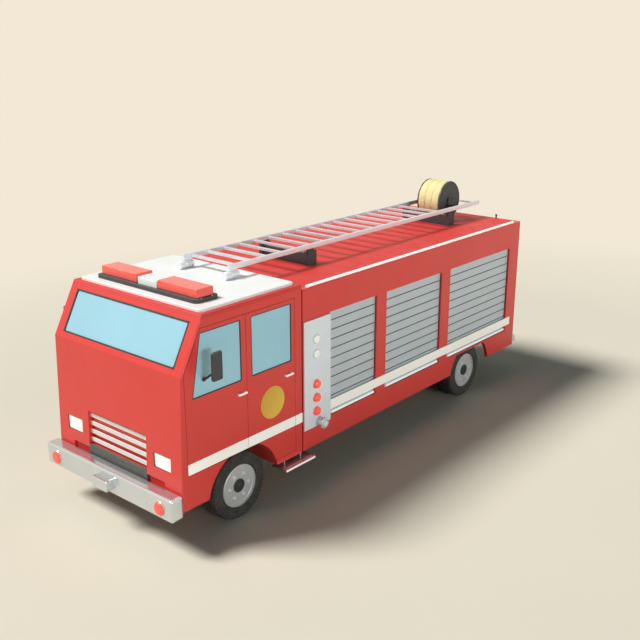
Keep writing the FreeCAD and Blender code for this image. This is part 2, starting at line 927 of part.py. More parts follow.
def body_roof():
    """Roof panel between the side walls."""
    inner_x = half_width - body_wall
    return box(-inner_x, inner_x, body_front_y, body_rear_y, body_top_z - roof_thick, body_top_z)


def body_floor():
    """Locker floor, front wall and boxes over the twin wheels."""
    inner_x = half_width - body_wall
    floor = box(-inner_x, inner_x, body_front_y + body_wall, body_rear_y - body_wall,
                locker_floor_z, locker_floor_z + floor_thick)
    front_wall = box(-inner_x, inner_x, body_front_y, body_front_y + body_wall,
                     locker_floor_z, body_top_z - roof_thick)
    box_top = arch_top_z + sheet
    half = wheel_box_half_length
    cover = box(twin_inner_x - sheet, inner_x, rear_axle_y - half - sheet,
                rear_axle_y + half + sheet, locker_floor_z, box_top)
    space = box(twin_inner_x, inner_x - wheel_box_side, rear_axle_y - half, rear_axle_y + half,
                0, arch_top_z)
    whole = fuse(floor, front_wall, *both_sides(cover))
    return cut(whole, *both_sides(space))


def body_rear():
    """Rear wall with the opening of the rear locker."""
    inner_x = half_width - body_wall
    wall = box(-inner_x, inner_x, body_rear_y - body_wall, body_rear_y, skirt_z,
               body_top_z - roof_thick)
    bay = box(-rear_bay_half_width, rear_bay_half_width, body_rear_y - body_wall - overrun,
              body_rear_y + overrun, bay_low_z, bay_top_z)
    return wall.cut(bay)


def curtain(length, height):
    """Slatted curtain lying flat: length along X, height along Y, outer face up."""
    count = int(height // shutter_pitch)
    outline = [(0, 0), (height, 0)]
    for i in range(count, 0, -1):
        at = shutter_pitch * i
        if at + shutter_groove < height:
            outline += [(at + shutter_groove, shutter_thick),
                        (at, shutter_thick - shutter_groove),
                        (at - shutter_groove, shutter_thick)]
    outline = outline[:2] + [(height, shutter_thick)] + outline[2:] + [(0, shutter_thick)]
    wire = rounded_wire([Vector(0, across, up) for across, up in outline], 0)
    return Part.Face(wire).extrude(Vector(length, 0, 0))


def roller_shutters():
    """Seven closed roller shutters: three a side and one at the rear."""
    height = bay_top_z - bay_low_z - seat_gap * 2
    curtains = []
    for y0, y1 in bay_spans():
        sheet_piece = curtain(y1 - y0 - seat_gap * 2, height)
        sheet_piece.rotate(Vector(0, 0, 0), Vector(1, 0, 0), quarter_turn)
        sheet_piece.rotate(Vector(0, 0, 0), Vector(0, 0, 1), quarter_turn)
        sheet_piece.translate(Vector(half_width - shutter_setback - shutter_thick,
                                     y0 + seat_gap, bay_low_z + seat_gap))
        curtains += both_sides(sheet_piece)
    rear = curtain(rear_bay_half_width * 2 - seat_gap * 2, height)
    rear.rotate(Vector(0, 0, 0), Vector(1, 0, 0), quarter_turn)
    rear.rotate(Vector(0, 0, 0), Vector(0, 0, 1), quarter_turn * 2)
    rear.translate(Vector(rear_bay_half_width - seat_gap,
                          body_rear_y - shutter_setback - shutter_thick, bay_low_z + seat_gap))
    return curtains + [rear]


def lift_bars():
    """Bright bar across the foot of each side shutter, on two stays."""
    bars = []
    bar_x = half_width - bar_radius + bar_proud
    face_x = half_width - shutter_setback
    for y0, y1 in bay_spans():
        bar = rod_y(bar_x, y0 + bar_end_margin, y1 - bar_end_margin, bar_z, bar_radius)
        stays = [box(face_x, bar_x, y - bar_stay_width / 2, y + bar_stay_width / 2,
                     bar_z - bar_radius / 2, bar_z + bar_radius / 2)
                 for y in (y0 + bar_end_margin * 3, y1 - bar_end_margin * 3)]
        bars += both_sides(fuse(bar, *stays))
    return bars


def side_bands():
    """Cream band along each body side, across the bays."""
    band = box(half_width, half_width + band_thick, body_front_y + panel_bay_length,
               body_rear_y - bay_posts[-1] + panel_bay_length / 4, band_low_z, band_top_z)
    return both_sides(band)


def side_rails():
    """White rail on feet along each roof edge of the body."""
    y0 = body_front_y + side_rail_margin
    y1 = body_rear_y - side_rail_rear_margin
    rail_z = body_top_z + seat_gap + side_rail_radius
    rail = rod_y(side_rail_x, y0, y1, rail_z, side_rail_radius)
    rail = round_edges(rail, side_rail_radius / 2, lambda edge: edge.Closed)
    feet_start = y0 + side_rail_foot_inset
    feet_span = y1 - side_rail_foot_inset - feet_start
    pieces = [rail]
    for i in range(side_rail_feet):
        pieces.append(rod_z(side_rail_x, feet_start + feet_span * i / (side_rail_feet - 1),
                            body_top_z, rail_z, side_rail_foot_radius))
    return both_sides(fuse(*pieces))


def roof_knob():
    """Small post with a round head near the rear edge of the roof."""
    x = half_width - knob_inset_x
    y = body_rear_y - knob_inset_y
    top = body_top_z + knob_height
    return fuse(rod_z(x, y, body_top_z, top, knob_radius),
                rod_z(x, y, top - knob_cap_height, top, knob_cap_radius))


def pump_panel():
    """Left pump panel with its capped outlet."""
    outline = rectangle(body_front_y, body_front_y + panel_bay_length - seat_gap,
                        pump_panel_low_z, pump_panel_top_z)
    face_x = half_width + pump_panel_proud
    panel = side_plate(outline, half_width, face_x)
    panel = round_edges(panel, pump_panel_round,
                        lambda edge: edge.BoundBox.XMin > face_x - seat_gap)
    outlet_y = body_front_y + outlet_from_front
    outlet_z = pump_panel_low_z + outlet_rise
    stub = rod_x(face_x - pump_panel_round, face_x + outlet_length, outlet_y, outlet_z, outlet_radius)
    cap_end = face_x + outlet_length + outlet_cap_thick
    cap = rod_x(cap_end - outlet_cap_thick, cap_end, outlet_y, outlet_z, outlet_cap_radius)
    return fuse(panel, stub, cap)


def saddle(front_y):
    """Ladder saddle: beam across the roof with a lug and a rest pad under each rail."""
    lug_outer_x = ladder_outer_x + saddle_lug_past_rail
    beam_y = front_y + saddle_beam_setback
    beam = box(-lug_outer_x + saddle_lug_width / 2, lug_outer_x - saddle_lug_width / 2,
               beam_y, beam_y + saddle_beam_depth, body_top_z, body_top_z + saddle_beam_height)
    lug = box(lug_outer_x - saddle_lug_width, lug_outer_x, front_y, front_y + saddle_lug_depth,
              body_top_z, body_top_z + saddle_lug_height)
    pad_y = front_y + (saddle_lug_depth - rest_pad_length) / 2
    pad = box(rail_centre_x - rest_pad_width / 2, rail_centre_x + rest_pad_width / 2,
              pad_y, pad_y + rest_pad_length, body_top_z, ladder_low_z - seat_gap)
    return fuse(beam, *(both_sides(lug) + both_sides(pad)))


def reel_stand():
    """Two plates on the roof that carry the reel's shaft and the ladder's pivot pins."""
    inner_x = reel_half_width + stand_gap
    outer_x = inner_x + stand_thick
    plate = side_plate([(reel_y - stand_half_foot, body_top_z), (reel_y + stand_half_foot, body_top_z),
                        (reel_y + stand_half_head, reel_z + stand_half_head),
                        (reel_y - stand_half_head, reel_z + stand_half_head)],
                       inner_x, outer_x)
    shaft = rod_x(-outer_x, outer_x, reel_y, reel_z, reel_shaft_radius)
    pin = rod_x(outer_x - stand_thick / 2, ladder_inner_x + pivot_depth, reel_y, ladder_mid_z,
                pivot_radius)
    return fuse(shaft, *(both_sides(plate) + both_sides(pin)))


def rung_stations(front_y, end_y):
    """Y of each rung: evenly spaced, none beside the reel, one near the rear end."""
    stations = []
    at = front_y + rung_first
    while at < reel_y - reel_clear_half:
        stations.append(at)
        at += rung_pitch
    return stations + [end_y - end_rung_margin]


def ladder():
    """Two rounded rails joined by rungs, on rollers at the front and pivots at the rear."""
    front_y = cab_back_y + ladder_front_from_cab_back
    end_y = body_rear_y - ladder_rear_margin
    rail = box(ladder_inner_x, ladder_outer_x, front_y, end_y,
               ladder_low_z, ladder_low_z + ladder_rail_height)
    rail = round_edges(rail, ladder_rail_round, lambda edge: lies_along(edge, 1))
    roller_z = pad_top_z + seat_gap + roller_radius
    roller_y = front_y - roller_ahead
    roller = rod_y(rail_centre_x, roller_y, roller_y + roller_length, roller_z, roller_radius)
    roller = round_edges(roller, roller_round, lambda edge: edge.Closed)
    web = box(rail_centre_x - roller_web / 2, rail_centre_x + roller_web / 2, front_y,
              front_y + roller_length / 2, roller_z, ladder_low_z + ladder_rail_round)
    sides = [rail, roller, web]
    rung_z = ladder_mid_z - rung_height / 2
    rung_end = ladder_inner_x + rung_sink
    rungs = [box(-rung_end, rung_end, y - rung_width / 2, y + rung_width / 2,
                 rung_z, rung_z + rung_height) for y in rung_stations(front_y, end_y)]
    whole = fuse(rail, *(sides[1:] + [mirrored(piece) for piece in sides] + rungs))
    bore = rod_x(ladder_inner_x - overrun, ladder_inner_x + pivot_depth + running_gap,
                 reel_y, ladder_mid_z, pivot_radius + running_gap)
    return cut(whole, *both_sides(bore))


def hose_reel():
    """Reel: two discs on a drum that turns on the shaft."""
    disc = rod_x(reel_half_width - reel_disc_thick, reel_half_width, reel_y, reel_z, reel_disc_radius)
    disc = round_edges(disc, reel_disc_round, lambda edge: edge.Closed)
    drum = rod_x(-reel_half_width, reel_half_width, reel_y, reel_z, reel_drum_radius)
    bore = rod_x(-reel_half_width - overrun, reel_half_width + overrun, reel_y, reel_z,
                 reel_shaft_radius + running_gap)
    return fuse(drum, *both_sides(disc)).cut(bore)


def hose_winding():
    """Flat hose wound on the drum in crowned coils side by side."""
    inner = reel_drum_radius + seat_gap
    span = (reel_half_width - reel_disc_thick - seat_gap) * 2
    pitch = span / hose_ridges
    start = -span / 2
    base = hose_radius - hose_crown
    points = [Vector(start, inner, 0), Vector(start, base, 0)]
    edges = [Part.LineSegment(points[0], points[1]).toShape()]
    for i in range(hose_ridges):
        x0 = start + pitch * i
        edges.append(Part.Arc(Vector(x0, base, 0), Vector(x0 + pitch / 2, hose_radius, 0),
                              Vector(x0 + pitch, base, 0)).toShape())
    edges.append(Part.LineSegment(Vector(-start, base, 0), Vector(-start, inner, 0)).toShape())
    edges.append(Part.LineSegment(Vector(-start, inner, 0), points[0]).toShape())
    winding = Part.Face(Part.Wire(edges)).revolve(Vector(0, 0, 0), Vector(1, 0, 0), quarter_turn * 4)
    winding.translate(Vector(0, reel_y, reel_z))
    return winding


def mirror_on_door():
    """Left mirror: foot on the door glass, straight arm and a rounded head folded along the side."""
    glass_x = half_width - pane_setback + seat_gap
    foot_y = front_axle_y - mirror_arm_nose
    foot_end = glass_x + mirror_foot_thick
    arm_z = window_low_z + mirror_arm_above_sill
    foot = rod_x(glass_x, foot_end, foot_y, arm_z, mirror_foot_radius)
    start = Vector(foot_end, foot_y, arm_z)
    end = Vector(half_width + mirror_arm_reach, foot_y + mirror_arm_trail, arm_z + mirror_arm_rise)
    arm = Part.makeCylinder(mirror_arm_radius, (end - start).Length, start, end - start)
    low_z = end.z - mirror_head_below
    head = box(end.x - mirror_head_thick / 2, end.x + mirror_head_thick / 2,
               end.y - mirror_head_depth / 2, end.y + mirror_head_depth / 2,
               low_z, low_z + mirror_head_height)
    head = head.makeFillet(mirror_head_round, head.Edges)
    return fuse(foot, arm, head)


def cab_step():
    """Left tread step below the rear door, on two stays."""
    y0 = front_axle_y + step_front_from_axle
    outer_x = step_inner_x + step_width
    top = skirt_z - step_drop
    tread = box(step_inner_x, outer_x, y0, y0 + step_length, top - step_thick, top)
    tread = round_edges(tread, step_round, lambda edge: edge.BoundBox.XMin > outer_x - step_thick)
    stays = [box(half_width - cab_wall, half_width - sheet, y, y + step_stay, top, skirt_z)
             for y in (y0 + step_stay_inset, y0 + step_length - step_stay_inset - step_stay)]
    return fuse(tread, *stays)


def tyre_ring(inner_x, outer_x):
    """Tyre as a revolved section along X, centred on the origin of Y and Z."""
    flank = wheel_radius - tyre_shoulder
    bead = tyre_bead_radius + tyre_shoulder
    lip = tyre_shoulder / 2
    section = [(inner_x + lip, tyre_bead_radius), (inner_x, bead), (inner_x, flank),
               (inner_x + tyre_shoulder, wheel_radius), (outer_x - tyre_shoulder, wheel_radius),
               (outer_x, flank), (outer_x, bead), (outer_x - lip, tyre_bead_radius)]
    wire = rounded_wire([Vector(x, radius, 0) for x, radius in reversed(section)], tyre_round)
    return Part.Face(wire).revolve(Vector(0, 0, 0), Vector(1, 0, 0), quarter_turn * 4)


def at_axle(shape, axle_y):
    """Piece made about the X axis, put on an axle."""
    shape.translate(Vector(0, axle_y, wheel_radius))
    return shape


def rim_ring(inner_x, outer_x):
    """Rim barrel seated under the tyre's beads."""
    outer_radius = tyre_bead_radius - seat_gap
    barrel = rod_x(inner_x, outer_x, 0, 0, outer_radius)
    return barrel.cut(rod_x(inner_x - overrun, outer_x + overrun, 0, 0, outer_radius - rim_wall))


def wheel_disc(outer_x):
    """Dished wheel disc with a raised nut ring, its outer face at outer_x."""
    disc = rod_x(outer_x - rim_disc_thick, outer_x, 0, 0, tyre_bead_radius - rim_wall)
    hub = rod_x(outer_x - hub_depth, outer_x + hub_proud, 0, 0, hub_radius)
    hub = round_edges(hub, hub_round,
                      lambda edge: edge.Closed and edge.BoundBox.XMin > outer_x)
    return [disc, hub]


def front_rim():
    """Left front wheel disc, barrel and hub."""
    disc_x = tyre_outer_x - rim_disc_setback
    barrel = rim_ring(tyre_inner_x + tyre_shoulder / 2, tyre_outer_x - rim_lip)
    bore = rod_x(disc_x - hub_depth - overrun, disc_x - rim_disc_thick, 0, 0,
                 spindle_radius + running_gap)
    return fuse(barrel, *wheel_disc(disc_x)).cut(bore)


def rear_rim():
    """Left rear twin wheel: two barrels on one hub."""
    disc_x = tyre_outer_x - rim_disc_setback
    outer = rim_ring(tyre_inner_x + tyre_shoulder / 2, tyre_outer_x - rim_lip)
    inner = rim_ring(twin_outer_x - tyre_width + tyre_shoulder / 2, tyre_inner_x + tyre_shoulder / 2)
    inner_disc = rod_x(tyre_inner_x - rim_disc_thick, tyre_inner_x, 0, 0,
                       tyre_bead_radius - rim_wall)
    inner_hub = rod_x(tyre_inner_x - hub_depth, disc_x, 0, 0, hub_radius)
    bore = rod_x(tyre_inner_x - hub_depth - overrun, disc_x - rim_disc_thick, 0, 0,
                 spindle_radius + running_gap)
    return fuse(outer, inner, inner_disc, inner_hub, *wheel_disc(disc_x)).cut(bore)


def knuckle():
    """Left steering knuckle: fork on the kingpin, spindle and steering arm."""
    body = rod_z(kingpin_x, 0, -knuckle_half_height, knuckle_half_height, knuckle_radius)
    spindle_end = tyre_outer_x - rim_disc_setback - rim_disc_thick - overrun
    flange_x = kingpin_x + knuckle_reach
    spindle = rod_x(flange_x - overrun, spindle_end, 0, 0, spindle_radius)
    web = box(kingpin_x, flange_x, -knuckle_radius, knuckle_radius,
              -knuckle_half_height, knuckle_half_height)
    eye_swing = rod_z(kingpin_x, 0, -beam_eye_half_height - running_gap,
                      beam_eye_half_height + running_gap, knuckle_radius + overrun)
    arm_z = -knuckle_half_height + steer_arm_thick
    arm = box(kingpin_x - steer_arm_thick, kingpin_x + steer_arm_thick, 0, steer_arm_length,
              -knuckle_half_height, arm_z)
    arm_end = rod_z(kingpin_x, steer_arm_length, -knuckle_half_height, arm_z, steer_arm_thick)
    bore = rod_z(kingpin_x, 0, -wheel_radius, wheel_radius, kingpin_radius + running_gap)
    pin_bore = rod_z(kingpin_x, steer_arm_length, -wheel_radius, wheel_radius,
                     tie_pin_radius + running_gap)
    whole = fuse(body, web).cut(eye_swing)
    whole = fuse(whole, spindle, arm, arm_end)
    return cut(whole, bore, pin_bore)


def tie_rod():
    """Rod that joins the two steering arms, with a pin at each end."""
    pin_z = wheel_radius - knuckle_half_height
    pin_y = front_axle_y + steer_arm_length
    rod_z_mid = pin_z - overrun - tie_eye_height / 2
    bar = rod_x(-kingpin_x, kingpin_x, pin_y, rod_z_mid, tie_rod_radius)
    eye = rod_z(kingpin_x, pin_y, pin_z - overrun - tie_eye_height, pin_z - overrun, tie_eye_radius)
    pin = rod_z(kingpin_x, pin_y, pin_z - overrun - tie_eye_height,
                pin_z - overrun - tie_eye_height + tie_pin_length, tie_pin_radius)
    return fuse(bar, *(both_sides(eye) + both_sides(pin)))


def leaf_spring(axle_y, seat_z):
    """Left leaf spring: stacked leaves that rise to the frame at both ends."""
    x0 = rail_x - spring_width / 2
    leaves = []
    for i in range(spring_leaves):
        half = spring_half_length * (1 - i / (spring_leaves + 1))
        low = seat_z + spring_leaf * (spring_leaves - 1 - i)
        rise = spring_sag * (half / spring_half_length) ** 2
        under = Part.Arc(Vector(x0, axle_y - half, low + rise), Vector(x0, axle_y, low),
                         Vector(x0, axle_y + half, low + rise)).toShape()
        over = Part.Arc(Vector(x0, axle_y + half, low + rise + spring_leaf),
                        Vector(x0, axle_y, low + spring_leaf),
                        Vector(x0, axle_y - half, low + rise + spring_leaf)).toShape()
        ends = [Part.LineSegment(Vector(x0, axle_y + half, low + rise),
                                 Vector(x0, axle_y + half, low + rise + spring_leaf)).toShape(),
                Part.LineSegment(Vector(x0, axle_y - half, low + rise + spring_leaf),
                                 Vector(x0, axle_y - half, low + rise)).toShape()]
        face = Part.Face(Part.Wire([under, ends[0], over, ends[1]]))
        leaves.append(face.extrude(Vector(spring_width, 0, 0)))
    return fuse(*leaves)


def front_axle():
    """Dropped beam axle with kingpins and leaf springs."""
    beam_z = wheel_radius - beam_drop
    beam = box(-rail_x - spring_width, rail_x + spring_width, -beam_depth / 2, beam_depth / 2,
               beam_z - beam_height / 2, beam_z + beam_height / 2)
    rise = side_rise()
    eye = rod_z(kingpin_x, 0, wheel_radius - beam_eye_half_height,
                wheel_radius + beam_eye_half_height, knuckle_radius)
    pin = rod_z(kingpin_x, 0, wheel_radius - knuckle_half_height,
                wheel_radius + knuckle_half_height, kingpin_radius)
    whole = fuse(beam, *(both_sides(rise) + both_sides(eye) + both_sides(pin)))
    whole.translate(Vector(0, front_axle_y, 0))
    spring = leaf_spring(front_axle_y, beam_z + beam_height / 2 - seat_sink)
    return fuse(whole, *both_sides(spring))


def side_rise():
    """Left end of the front beam, rising to a level neck at the kingpin eye."""
    beam_z = wheel_radius - beam_drop
    start_x = rail_x + spring_width
    neck_x = kingpin_x - knuckle_radius - beam_neck
    eye_low_z = wheel_radius - beam_eye_half_height
    neck_top_z = eye_low_z + beam_height
    outline = [(start_x, beam_z - beam_height / 2), (neck_x, eye_low_z), (kingpin_x, eye_low_z),
               (kingpin_x, neck_top_z), (neck_x, neck_top_z), (start_x, beam_z + beam_height / 2)]
    return front_plate(outline, -knuckle_radius / 2, knuckle_radius / 2)


def rear_axle():
    """Rear axle: tube, banjo housing, spindles and leaf springs."""
    hub_end_x = tyre_inner_x - hub_depth
    tube_end_x = hub_end_x - overrun
    spindle_end = tyre_outer_x - rim_disc_setback - rim_disc_thick - overrun
    tube = rod_x(-tube_end_x, tube_end_x, 0, 0, rear_tube_radius)
    spindle = rod_x(-spindle_end, spindle_end, 0, 0, spindle_radius)
    banjo = rod_x(-banjo_half_width, banjo_half_width, 0, 0, banjo_radius)
    banjo = round_edges(banjo, banjo_half_width / 2, lambda edge: edge.Closed)
    whole = at_axle(fuse(tube, spindle, banjo), rear_axle_y)
    spring = leaf_spring(rear_axle_y, wheel_radius + rear_tube_radius - seat_sink)
    return fuse(whole, *both_sides(spring))


def spring_hanger(y, spring_end_z):
    """Left bracket between a spring's end and the frame rail."""
    return box(rail_x - spring_width / 2, rail_x + spring_width / 2, y - spring_width / 2,
               y + spring_width / 2, spring_end_z, rail_low_z + rail_web)


def chassis_frame():
    """Channel rails, cross members, engine bearers, bumper carrier and spring hangers."""
    front = apron_back_y() + seat_gap
    rear = body_rear_y - body_wall
    top = rail_low_z + rail_height
    rail = box(rail_inner_x, rail_outer_x, front, rear, rail_low_z, top)
    rail = rail.cut(box(rail_inner_x - overrun, rail_outer_x - rail_web, front - overrun, rear + overrun,
                        rail_low_z + rail_web, top - rail_web))
    web_x = rail_outer_x - rail_web / 2
    pieces = both_sides(rail)
    last = rear - cross_member_depth
    for i in range(cross_member_count):
        y = body_front_y + (last - body_front_y) * i / (cross_member_count - 1)
        pieces.append(box(-web_x, web_x, y, y + cross_member_depth,
                          rail_low_z + rail_web * 3, top - rail_web * 3))
    engine_y = front_axle_y + engine_front_from_axle
    for y in (engine_y + cross_member_depth, engine_y + engine_length - cross_member_depth * 2):
        pieces.append(box(-web_x, web_x, y, y + cross_member_depth, rail_low_z,
                          engine_low_z - seat_gap))
    carrier_half_width = grille_half_width - carrier_side_gap
    pieces.append(box(-carrier_half_width, carrier_half_width, bumper_y + bumper_depth,
                      front + carrier_lap, carrier_low_z, apron_low_z - seat_gap))
    pieces += both_sides(box(rail_inner_x, rail_outer_x, cab_front_y + cab_mount_inset,
                             cab_front_y + cab_mount_inset + cab_mount_length,
                             top - rail_web, arch_top_z - overrun - seat_gap))
    pieces += both_sides(box(rail_outer_x - rail_web, tunnel_half_width + cab_mount_length,
                             cab_back_y - cab_mount_inset - cab_mount_length,
                             cab_back_y - cab_mount_inset, rail_low_z, well_floor_z - seat_gap))
    front_seat = wheel_radius - beam_drop + beam_height / 2 - seat_sink
    rear_seat = wheel_radius + rear_tube_radius - seat_sink
    hanger_reach = spring_half_length - spring_width / 2
    for axle_y, seat_z in ((front_axle_y, front_seat), (rear_axle_y, rear_seat)):
        end_z = seat_z + spring_sag + spring_leaf * spring_leaves + seat_gap
        for hanger_y in (axle_y - hanger_reach, axle_y + hanger_reach):
            pieces += both_sides(spring_hanger(hanger_y, end_z))
    return fuse(*(pieces + [tow_jaw()]))


def tow_jaw():
    """Rear towing jaw: bracket on the last cross member and two ears bored for a pin."""
    rear = body_rear_y - body_wall
    bracket = box(-jaw_half_width, jaw_half_width, rear - jaw_plate, rear, jaw_low_z,
                  rail_low_z + rail_web * 5)
    ears = [box(-jaw_half_width, jaw_half_width, rear - jaw_plate, body_rear_y + jaw_reach,
                z, z + jaw_plate) for z in (jaw_low_z, jaw_low_z + jaw_plate + jaw_mouth)]
    pin_y = body_rear_y + jaw_reach - jaw_pin_setback
    bore = rod_z(0, pin_y, 0, rail_low_z, jaw_pin_radius)
    return fuse(bracket, *ears).cut(bore)


def engine_block():
    """Engine as one plain block between the frame rails, under the tunnel."""
    y0 = front_axle_y + engine_front_from_axle
    return box(-engine_half_width, engine_half_width, y0, y0 + engine_length,
               engine_low_z, engine_top_z)


def seat(x, y0, floor_z, base_height):
    """One seat: base, cushion and backrest."""
    x0 = x - seat_width / 2
    x1 = x + seat_width / 2
    cushion_z = floor_z + base_height
    back_y = y0 + seat_depth - seat_back_thick / 2
    base = box(x0 + seat_base_inset, x1 - seat_base_inset, y0 + seat_back_thick,
               y0 + seat_depth - seat_base_inset, floor_z, cushion_z)
    cushion = box(x0, x1, y0, y0 + seat_depth, cushion_z, cushion_z + seat_cushion)
    cushion = cushion.makeFillet(seat_cushion_round, cushion.Edges)
    back_z = cushion_z + seat_cushion / 2
    back = box(x0, x1, back_y, back_y + seat_back_thick, back_z, back_z + seat_back_height)
    back = back.makeFillet(seat_back_round, back.Edges)
    return fuse(base, cushion, back)


def seats():
    """Four seats: two in front, two behind."""
    front_y = front_axle_y + front_seat_from_axle
    rear_y = cab_back_y - cab_skin - seat_depth - seat_back_thick / 2 - seat_gap
    well_top = well_floor_z + floor_thick
    front = seat(seat_x, front_y, floor_top_z, seat_base_height)
    rear = seat(rear_seat_x, rear_y, well_top, rear_seat_height)
    return both_sides(front) + both_sides(rear)


def steering_frame():
    """Centre of the steering wheel and the direction of its column."""
    tilt = math.radians(steering_tilt_deg)
    centre = Vector(seat_x, front_axle_y + steering_from_axle, steering_z)
    return centre, Vector(0, math.sin(tilt), math.cos(tilt))


def dashboard():
    """Dashboard across the cab with the steering column."""
    front = cab_front_at(dash_low_z) + cab_skin + seat_gap
    inner_x = half_width - cab_wall - post_clearance
    outline = [(front, dash_low_z), (front + dash_depth * dash_knee_share, dash_low_z),
               (front + dash_depth, dash_low_z + dash_face_height),
               (front + dash_depth * dash_brow_share, dash_top_z),
               (cab_front_at(dash_top_z) + cab_skin + seat_gap, dash_top_z)]
    dash = side_plate(outline, -inner_x, inner_x)
    centre, up = steering_frame()
    column = Part.makeCylinder(column_radius, column_length,
                               centre - up * (column_length + steering_hub_thick / 2 + running_gap), up)
    return fuse(dash, column)


def steering_wheel():
    """Steering wheel: rim, three spokes and hub."""
    rim = Part.makeTorus(steering_ring_radius, steering_rim_radius)
    hub = Part.makeCylinder(steering_hub_radius, steering_hub_thick,
                            Vector(0, 0, -steering_hub_thick / 2))
    spokes = []
    for turn in (0, math.pi / 2, math.pi):
        direction = Vector(math.cos(turn), math.sin(turn), 0)
        spokes.append(Part.makeCylinder(steering_spoke_radius, steering_ring_radius,
                                        Vector(0, 0, 0), direction))
    wheel = fuse(rim, hub, *spokes)
    wheel.rotate(Vector(0, 0, 0), Vector(1, 0, 0), -steering_tilt_deg)
    centre, _ = steering_frame()
    wheel.translate(centre)
    return wheel


def export(name, pieces):
    """Write one node as a STEP file."""
    shape = Part.makeCompound(pieces) if isinstance(pieces, list) else pieces
    shape.exportStep("parts/" + name + ".step")


def left_and_right(name, left_shape):
    """Write a left piece and its right twin as two nodes."""
    export(name + "_left", left_shape)
    export(name + "_right", mirrored(left_shape))


def main():
    os.makedirs("parts", exist_ok=True)
    export("chassis_frame", chassis_frame())
    export("front_axle", front_axle())
    export("rear_axle", rear_axle())
    export("engine_block", engine_block())
    export("front_bumper", front_bumper())
    export("rear_bumper", rear_bumper())
    export("cab_shell", cab_shell())
    export("cab_roof", cab_roof())
    export("roof_pad", roof_pad())
    export("windscreen", windscreen())
    export("grille", grille())
    export("front_apron", front_apron())
    export("headlamps", headlamps())
    export("red_lamps", red_lamps())
    export("white_lamps", white_lamps())
    export("light_bar_base", light_bar_base())
    export("light_bar_lenses", light_bar_lenses())
    export("light_bar_middle", light_bar_middle())
    export("dashboard", dashboard())
    export("seats", seats())
    export("steering_wheel", steering_wheel())
    export("cab_steps", both_sides(cab_step()))
    export("body_sides", both_sides(body_side()))
    export("body_roof", body_roof())
    export("body_floor", body_floor())
    export("body_rear", body_rear())
    export("roller_shutters", roller_shutters())
    export("lift_bars", lift_bars())
    export("side_bands", side_bands())
    export("side_rails", side_rails())
    export("pump_panels", both_sides(pump_panel()))
    export("saddles", [saddle(body_front_y + front_saddle_from_body_front),
                       saddle(reel_y + rear_saddle_from_reel), reel_stand(), roof_knob()])
    export("ladder", ladder())
    export("hose_reel", hose_reel())
    export("hose_winding", hose_winding())
    left_and_right("front_door", door_leaf(front_door_outline(), front_window_outline()))
    left_and_right("rear_door", door_leaf(rear_door_outline(), rear_window_outline()))
    left_and_right("front_door_glass", pane(front_window_outline()))
    left_and_right("rear_door_glass", pane(rear_window_outline()))
    left_and_right("mirror", mirror_on_door())
    left_and_right("knuckle", at_axle(knuckle(), front_axle_y))
    export("tie_rod", tie_rod())
    left_and_right("front_tyre", at_axle(tyre_ring(tyre_inner_x, tyre_outer_x), front_axle_y))
    left_and_right("front_rim", at_axle(front_rim(), front_axle_y))
    twin = [at_axle(tyre_ring(tyre_inner_x, tyre_outer_x), rear_axle_y),
            at_axle(tyre_ring(twin_outer_x - tyre_width, twin_outer_x), rear_axle_y)]
    left_and_right("rear_tyres", Part.makeCompound(twin))
    left_and_right("rear_rim", at_axle(rear_rim(), rear_axle_y))


main()
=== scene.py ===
import json
import math

import bmesh
import bpy
from mathutils import Matrix, Vector


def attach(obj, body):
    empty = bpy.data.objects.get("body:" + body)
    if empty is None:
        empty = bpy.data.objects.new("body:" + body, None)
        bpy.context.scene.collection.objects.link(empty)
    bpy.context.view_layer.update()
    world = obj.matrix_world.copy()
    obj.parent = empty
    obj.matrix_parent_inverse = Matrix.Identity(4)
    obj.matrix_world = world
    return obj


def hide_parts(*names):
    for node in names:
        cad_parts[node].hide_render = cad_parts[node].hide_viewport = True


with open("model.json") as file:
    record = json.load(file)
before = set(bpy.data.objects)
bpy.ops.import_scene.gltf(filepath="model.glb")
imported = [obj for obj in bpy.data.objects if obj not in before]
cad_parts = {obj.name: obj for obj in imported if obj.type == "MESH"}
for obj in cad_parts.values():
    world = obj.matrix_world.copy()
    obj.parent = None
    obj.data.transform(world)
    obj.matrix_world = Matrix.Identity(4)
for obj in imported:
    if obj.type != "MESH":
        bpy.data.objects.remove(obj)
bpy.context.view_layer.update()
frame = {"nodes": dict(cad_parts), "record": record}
nodes = frame["nodes"]
SIDES = ("left", "right")
REEL_Y, REEL_Z = 3.3425, 3.237


# Shader helpers

def new_material(name):
    """Material with a principled shader; returns the material, its tree and the shader."""
    mat = bpy.data.materials.new(name)
    mat.use_nodes = True
    tree = mat.node_tree
    shader = next(n for n in tree.nodes if n.type == "BSDF_PRINCIPLED")
    return mat, tree, shader


def coords(tree):
    """Object coordinates, in metres."""
    return tree.nodes.new("ShaderNodeTexCoord").outputs["Object"]


def mapping(tree, vector, scale=(1, 1, 1), shift=(0, 0, 0)):
    """Coordinates stretched along their axes and shifted."""
    node = tree.nodes.new("ShaderNodeMapping")
    node.inputs["Location"].default_value = shift
    node.inputs["Scale"].default_value = scale
    tree.links.new(vector, node.inputs["Vector"])
    return node.outputs["Vector"]


def noise(tree, vector, scale, detail, rough=0.55):
    """Cloudy noise between 0 and 1."""
    node = tree.nodes.new("ShaderNodeTexNoise")
    node.inputs["Scale"].default_value = scale
    node.inputs["Detail"].default_value = detail
    node.inputs["Roughness"].default_value = rough
    tree.links.new(vector, node.inputs["Vector"])
    return node.outputs["Fac"]


